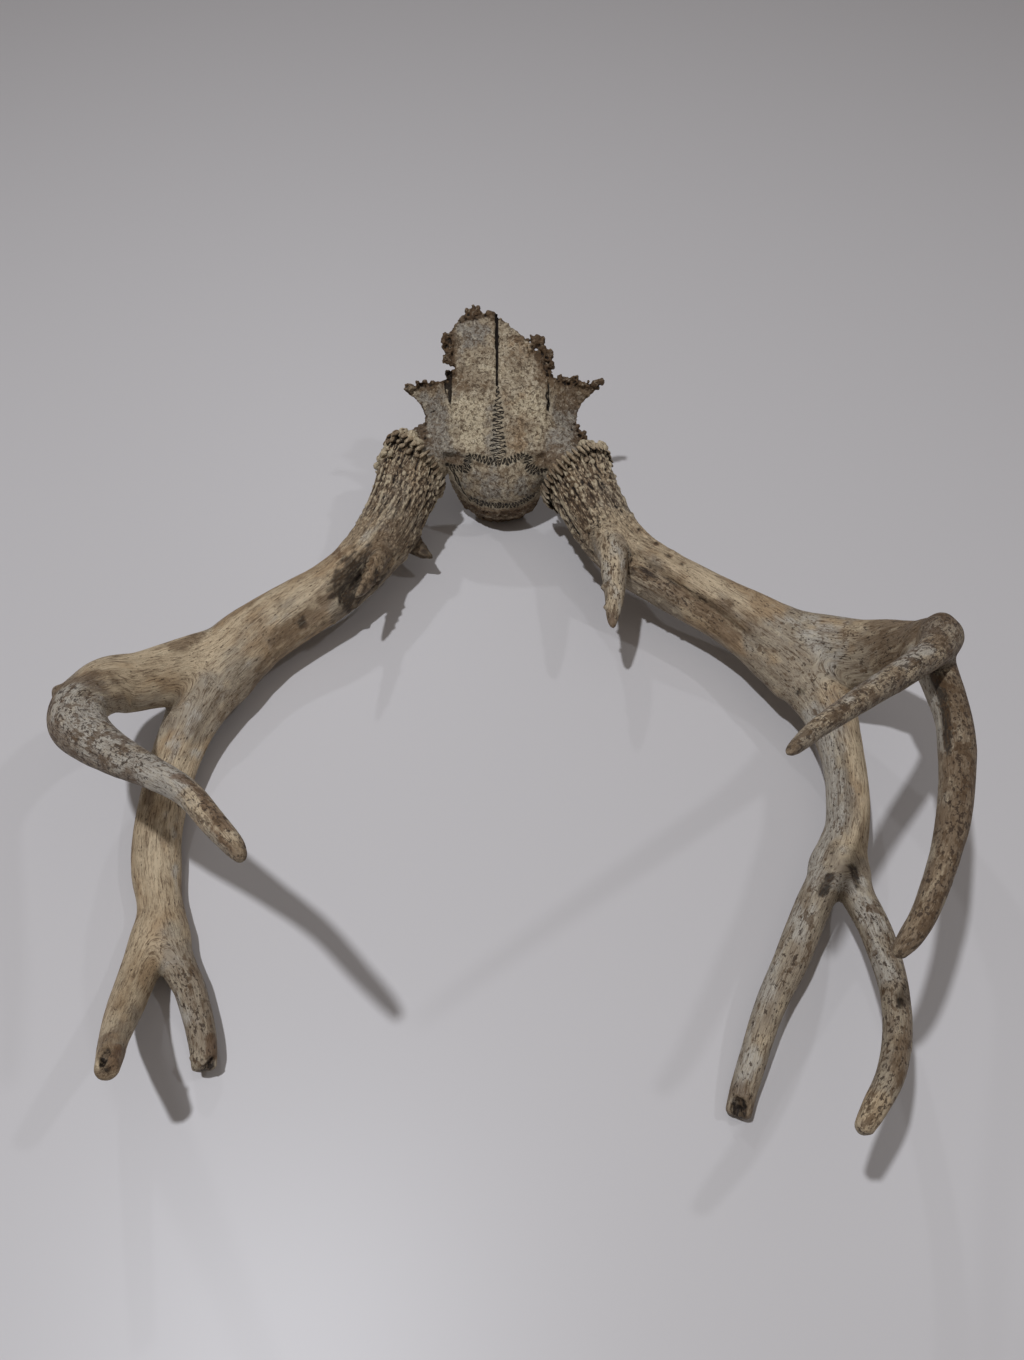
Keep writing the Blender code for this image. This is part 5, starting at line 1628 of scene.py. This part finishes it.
# %% [markdown]
# ## The finish of antler
#
# Dry antler is tan to cream where it is polished and grey where it has weathered, which the ground
# colour on the mesh already says. The material lays over it, in this order: brown and pale streaks
# along the grain, the bark near the burr, freckles and pores, painted shade in the hollows, wear on
# the crests, and the brown spongy core where a tine is broken. A bump raises the bark and the grain
# and sinks the freckles and pores a little.

# %% Helpers for materials
BUMP_STRENGTH = 0.8


def new_material(name):
    material = bpy.data.materials.new(name)
    material.use_nodes = True
    return material, material.node_tree, material.node_tree.nodes["Principled BSDF"]


def colour_parts(tree, name):
    """The four channels of a colour attribute."""
    given = attribute(tree, name)
    return (*add_node(tree, "ShaderNodeSeparateColor", {0: given["Color"]}).outputs, given["Alpha"])


def finish_surface(tree, shader, colour, roughness, gloss, height, depth):
    """Give the shader its colour, roughness and gloss, and a bump of a height, its depth in metres."""
    bump = add_node(tree, "ShaderNodeBump", {"Strength": BUMP_STRENGTH, "Distance": depth, "Height": height})
    plug(tree, colour, shader.inputs["Base Color"])
    plug(tree, roughness, shader.inputs["Roughness"])
    plug(tree, gloss, shader.inputs["Specular IOR Level"])
    plug(tree, bump.outputs["Normal"], shader.inputs["Normal"])

# %% Antler material
ANTLER_GLOSS = 0.3
ANTLER_BUMP = 0.0007        # in metres


def antler_material(name, freckles):
    material, tree, shader = new_material(name)
    grain = attribute(tree, "grain")["Vector"]
    rugged, hollow, speckled, broken = colour_parts(tree, "wear_and_shade")
    place = scaled(tree, grain, (1, 1, 0.55))

    # Streaks: blotches drawn out with the grain, broad faint lines, fine dark ones and hairs.
    blotch = noise(tree, scaled(tree, grain, (1, 1, 0.35)), 0.22, 5.0, 0.72)
    broad = use_effect(tree, LONG_GRAIN, Grain=grain, Width=2.6, Low=0.50, High=0.66)
    lines = use_effect(tree, LONG_GRAIN, Grain=grain, Width=0.8, Low=0.50, High=0.62)
    grouped = product(tree, lines["Mask"], ramp(tree, blotch, 0.36, 0.56, 0.25, 1.0))
    hairs = maths(tree, "ABSOLUTE", maths(tree, "SUBTRACT", broad["Height"], 0.5))
    colour = lay(tree, [
        (GRAIN_BROWN, ramp(tree, blotch, 0.54, 0.68), 0.42),
        (WORN, ramp(tree, blotch, 0.48, 0.34), 0.3),
        (GRAIN_BROWN, broad["Mask"], 0.30),
        (GRAIN_BROWN, grouped, 0.75),
        (SPECK, ramp(tree, hairs, 0.022, 0.006), 0.45),
    ], attribute(tree, "ground")["Color"])

    # Bark near the burr: brown in its grooves, cream on its crests, some pearls browner than others.
    bark = use_effect(tree, BARK, Grain=grain, Size=1.9)
    rough = maths(tree, "MULTIPLY_ADD", rugged, 0.9, 0.06)
    colour = lay(tree, [
        (GRAIN_BROWN, product(tree, ramp(tree, bark["Chance"], 0.45, 0.9), rough), 0.6),
        (CREAM, product(tree, ramp(tree, bark["Height"], 0.74, 0.98), rough), 0.8),
        (BARK_BROWN, product(tree, ramp(tree, bark["Height"], 0.66, 0.36), rough), 0.9),
    ], colour)

    # Freckles and pores.
    least = maths(tree, "MULTIPLY_ADD", rugged, 0.1, freckles)
    amount = maths(tree, "MULTIPLY_ADD", speckled, 0.42, least)
    specks = use_effect(tree, FRECKLES, Place=place, Size=1.8, Amount=amount)["Mask"]
    dots = use_effect(tree, FRECKLES, Place=place, Size=5.0, Amount=amount)["Mask"]
    pores = use_effect(tree, PORES, Place=scaled(tree, grain, (1, 1, 0.5)), Size=1.5, Amount=0.12)["Mask"]
    colour = lay(tree, [(SPECK, specks, 0.82), (GRAIN_BROWN, dots, 0.7), (SPECK, pores, 0.7)], colour)

    # Painted shade in the hollows, wear on the crests, and the dark spongy core where a tine is broken.
    deep = maths(tree, "MULTIPLY_ADD", rugged, -0.04, 0.56)
    full = maths(tree, "MULTIPLY_ADD", rugged, -0.18, 0.86)
    spongy = use_effect(tree, FRECKLES, Place=grain, Size=2.4, Amount=1.0)["Mask"]
    colour = lay(tree, [
        (SHADE_AND_DIRT, ramp(tree, hollow, deep, full), 0.92),
        (WORN, product(tree, ramp(tree, hollow, 0.44, 0.24), rough), 0.65),
        (BARK_BROWN, broken, 0.55),
        (SHADE_AND_DIRT, product(tree, broken, spongy), 0.85),
    ], colour)

    height = maths(tree, "MULTIPLY_ADD", product(tree, bark["Height"], rough), 1.6, lines["Height"])
    height = maths(tree, "SUBTRACT", height, product(tree, specks, 0.35))
    height = maths(tree, "SUBTRACT", height, product(tree, pores, 0.5))
    roughness = ramp(tree, lines["Height"], 0.3, 0.7, 0.5, 0.72)
    finish_surface(tree, shader, colour, roughness, ANTLER_GLOSS, height, ANTLER_BUMP)
    return material

# %% Set both antlers in place
FRECKLED = {"left": 0.34, "right": 0.40}        # how freckled each antler is all over


def set_piece(mesh, name, finish, slot, *nodes):
    """Take a mesh from the routes' millimetres to the frame, and let it stand for its solids."""
    mesh.transform(Matrix.Diagonal((MM, MM, MM, 1)) @ Matrix.Translation(-RACK_MIDDLE))
    mesh.name = name
    mesh.shade_smooth()
    mesh.materials.clear()
    mesh.materials.append(finish)
    piece = new_object(name, mesh)
    if nodes:
        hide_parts(*nodes)
    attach(piece, "root")
    print(name, "stands for", list(nodes) or "no solid of its own")


antler_finish = {side: antler_material(side + " antler", FRECKLED[side]) for side in ANTLERS}
for side in ANTLERS:
    solids = [side + part for part in ("_beam", "_rear_fork", "_front_fork")]
    set_piece(antler_skins[side], side + "_antler", antler_finish[side], "antler", *solids)
for side in ANTLERS:
    set_piece(crown_skins[side], side + "_burr_pearls", antler_finish[side], "antler")

# %% [markdown]
# ## The finish of bone
#
# Weathered bone is cream where it was covered and grey where the sun bleached it. It is speckled
# with brown, darkest in its pores and along its broken rims. The open crack and the hollows get
# painted shade. The sutures are drawn here: a folded line is the place where the distance beside
# the suture equals a wave of the distance along it.

# %% The sutures as an effect
def suture_effect():
    tree, given, out = effect("suture", ["Mask", "Border"], Seam=None, Stitch=None, Place=None)
    along, beside, half = split(tree, given["Seam"])
    fold_length, thickness, near = split(tree, given["Stitch"])
    stray = maths(tree, "SUBTRACT", noise(tree, given["Place"], 0.42, 2.0, 0.5), 0.5)
    turn = maths(tree, "DIVIDE", maths(tree, "MULTIPLY_ADD", stray, 3.4, along), fold_length)
    turn = product(tree, turn, math.tau)
    uneven = maths(tree, "MULTIPLY_ADD", noise(tree, given["Place"], 0.3, 1.0, 0.5), 1.4, 0.3)
    reach = product(tree, half, uneven)
    fold = product(tree, maths(tree, "SINE", turn), reach)

    # Dividing by the wave's steepness keeps the line as thin on its sides as at its turns.
    slope = product(tree, maths(tree, "COSINE", turn), reach)
    slope = maths(tree, "DIVIDE", product(tree, slope, math.tau), fold_length)
    steep = maths(tree, "SQRT", maths(tree, "MULTIPLY_ADD", slope, slope, 1.0))
    shifted = maths(tree, "MULTIPLY_ADD", stray, 1.0, beside)
    gap = maths(tree, "DIVIDE", maths(tree, "ABSOLUTE", maths(tree, "SUBTRACT", shifted, fold)), steep)
    mask = ramp(tree, gap, product(tree, thickness, 1.5), product(tree, thickness, 0.6))
    plug(tree, product(tree, mask, near), out["Mask"])
    plug(tree, near, out["Border"])
    return tree


SUTURE = suture_effect()
print("effect:", SUTURE.name)

# %% The open crack, painted black as shade
SLIT_MIDDLE = -2.15                     # the open crack's middle, to the side of the plate's
SLIT_START, SLIT_END = 50.0, 96.0       # how far up the forehead it begins and ends
SLIT_HALF = (0.55, 0.95)                # its half width at both


def slit_mask(tree):
    """1 within the open crack, which is painted black as shade, from the place on the plate."""
    side, up, _ = split(tree, attribute(tree, "plate")["Vector"])
    off = maths(tree, "ABSOLUTE", maths(tree, "SUBTRACT", side, SLIT_MIDDLE))
    widening = ramp(tree, up, SLIT_START, SLIT_END, *SLIT_HALF)
    inside = ramp(tree, maths(tree, "SUBTRACT", off, widening), 0.10, -0.10)
    return product(tree, inside, ramp(tree, up, SLIT_START - 0.4, SLIT_START + 0.6))

# %% Bone material
MOTTLE_BROWN = from_srgb(112, 92, 68)
MOTTLE_PALE = from_srgb(222, 210, 184)
FINE_SPECK = from_srgb(96, 76, 54)
BROAD_SPECK = from_srgb(78, 60, 43)
WORM_BROWN = from_srgb(84, 66, 48)
SEAM_BORDER = from_srgb(206, 194, 168)
SEAM_BLACK = from_srgb(24, 19, 15)
# Painted shade: the open crack is black, as if the dark inside of the skull showed through.
CRACK_SHADE_BLACK = from_srgb(9, 8, 7)
# Painted shade in the hollows and the slits.
BONE_HOLLOW_SHADE = from_srgb(34, 26, 20)
BONE_WORN = from_srgb(214, 200, 172)
BONE_ROUGHNESS = 0.68
BONE_GLOSS = 0.25
BONE_BUMP = 0.0009          # in metres


def bone_material(name):
    material, tree, shader = new_material(name)
    place = scaled(tree, add_node(tree, "ShaderNodeTexCoord").outputs["Object"], (1 / MM, 1 / MM, 1 / MM))
    crumbled, hollow, _, _ = colour_parts(tree, "wear_and_shade")

    # Mottling, from blotches of several millimetres to fine specks, and thin worm-like lines.
    blotch = noise(tree, place, 0.30, 4.0, 0.72, 0.6)
    browned = maths(tree, "MULTIPLY_ADD", crumbled, 0.15, 0.74)
    fine = use_effect(tree, FRECKLES, Place=place, Size=1.1, Amount=browned)["Mask"]
    specks = use_effect(tree, FRECKLES, Place=place, Size=2.3, Amount=browned)["Mask"]
    worm = maths(tree, "ABSOLUTE", maths(tree, "SUBTRACT", noise(tree, place, 0.55, 2.5, 0.6, 0.8), 0.5))
    colour = lay(tree, [
        (MOTTLE_BROWN, ramp(tree, blotch, 0.51, 0.62), 0.62),
        (MOTTLE_PALE, ramp(tree, blotch, 0.47, 0.36), 0.45),
        (FINE_SPECK, fine, 0.5),
        (BROAD_SPECK, specks, 0.68),
        (WORM_BROWN, ramp(tree, worm, 0.030, 0.008), 0.55),
    ], attribute(tree, "ground")["Color"])

    # Sutures with their pale borders, painted shade in the open crack and the hollows, and wear on the
    # crests.
    seam = use_effect(tree, SUTURE, Seam=attribute(tree, "seam")["Vector"],
                      Stitch=attribute(tree, "stitch")["Vector"], Place=place)
    colour = lay(tree, [
        (SEAM_BORDER, seam["Border"], 0.25),
        (SEAM_BLACK, seam["Mask"], 0.95),
        (CRACK_SHADE_BLACK, slit_mask(tree), 1.0),
        (BONE_HOLLOW_SHADE, ramp(tree, hollow, 0.56, 0.78), 0.9),
        (BONE_WORN, ramp(tree, hollow, 0.46, 0.30), 0.35),
    ], colour)

    grit = noise(tree, place, 0.8, 5.0, 0.75)
    height = maths(tree, "SUBTRACT", grit, product(tree, seam["Mask"], 1.2))
    height = maths(tree, "SUBTRACT", height, product(tree, specks, 0.5))
    finish_surface(tree, shader, colour, BONE_ROUGHNESS, BONE_GLOSS, height, BONE_BUMP)
    return material


set_piece(plate_skin, "skull_piece", bone_material("skull bone"), "skull_bone", "skull_plate")

# %% [markdown]
# ## The table and the light
#
# The rack lies on a plain pale table under two lamps high on the left, one nearer and stronger, one
# far behind, so each tine throws two shadows. A weak lamp on the right and a soft light from above
# keep the shadows open.

# %% Floor and lamps
FLOOR_SIZE = 6.0        # in metres
FLOOR_PALE = from_srgb(205, 202, 201)
FLOOR_ROUGHNESS = 0.42
bm = bmesh.new()
bmesh.ops.create_grid(bm, x_segments=1, y_segments=1, size=FLOOR_SIZE / 2)
floor = new_object("floor", as_mesh(bm, "floor"))
floor_finish, _, floor_shader = new_material("floor")
floor_shader.inputs["Base Color"].default_value = FLOOR_PALE
floor_shader.inputs["Roughness"].default_value = FLOOR_ROUGHNESS
floor.data.materials.append(floor_finish)


def lamp(name, place, size, watts, colour):
    """A round lamp at a place among the routes, turned to the frame's origin."""
    light = bpy.data.lights.new(name, "AREA")
    light.shape = "DISK"
    light.size = size
    light.energy = watts
    light.color = colour
    obj = new_object(name, light)
    obj.location = to_frame(*place)
    obj.rotation_euler = (-obj.location).to_track_quat("-Z", "Y").to_euler()


COOL, CREAMY_WHITE = (0.90, 0.93, 1.0), (1.0, 0.94, 0.90)
lamp("near lamp", (-442, -255, 1890), 0.07, 20, COOL)
lamp("far lamp", (-480, 1943, 1890), 0.10, 4.5, COOL)
lamp("side lamp", (1250, 40, 1890), 0.10, 4, COOL)
lamp("soft top", (300, -200, 2400), 2.2, 4, CREAMY_WHITE)

# %% The light of the room
ROOM_COLOUR, ROOM_STRENGTH = from_srgb(222, 212, 207), 0.17
world = bpy.data.worlds.new("room")
world.use_nodes = True
room = world.node_tree.nodes["Background"].inputs
room["Color"].default_value = ROOM_COLOUR
room["Strength"].default_value = ROOM_STRENGTH
bpy.context.scene.world = world
bpy.context.scene.view_settings.view_transform = "Standard"
print("the room's light is as strong as", ROOM_STRENGTH)
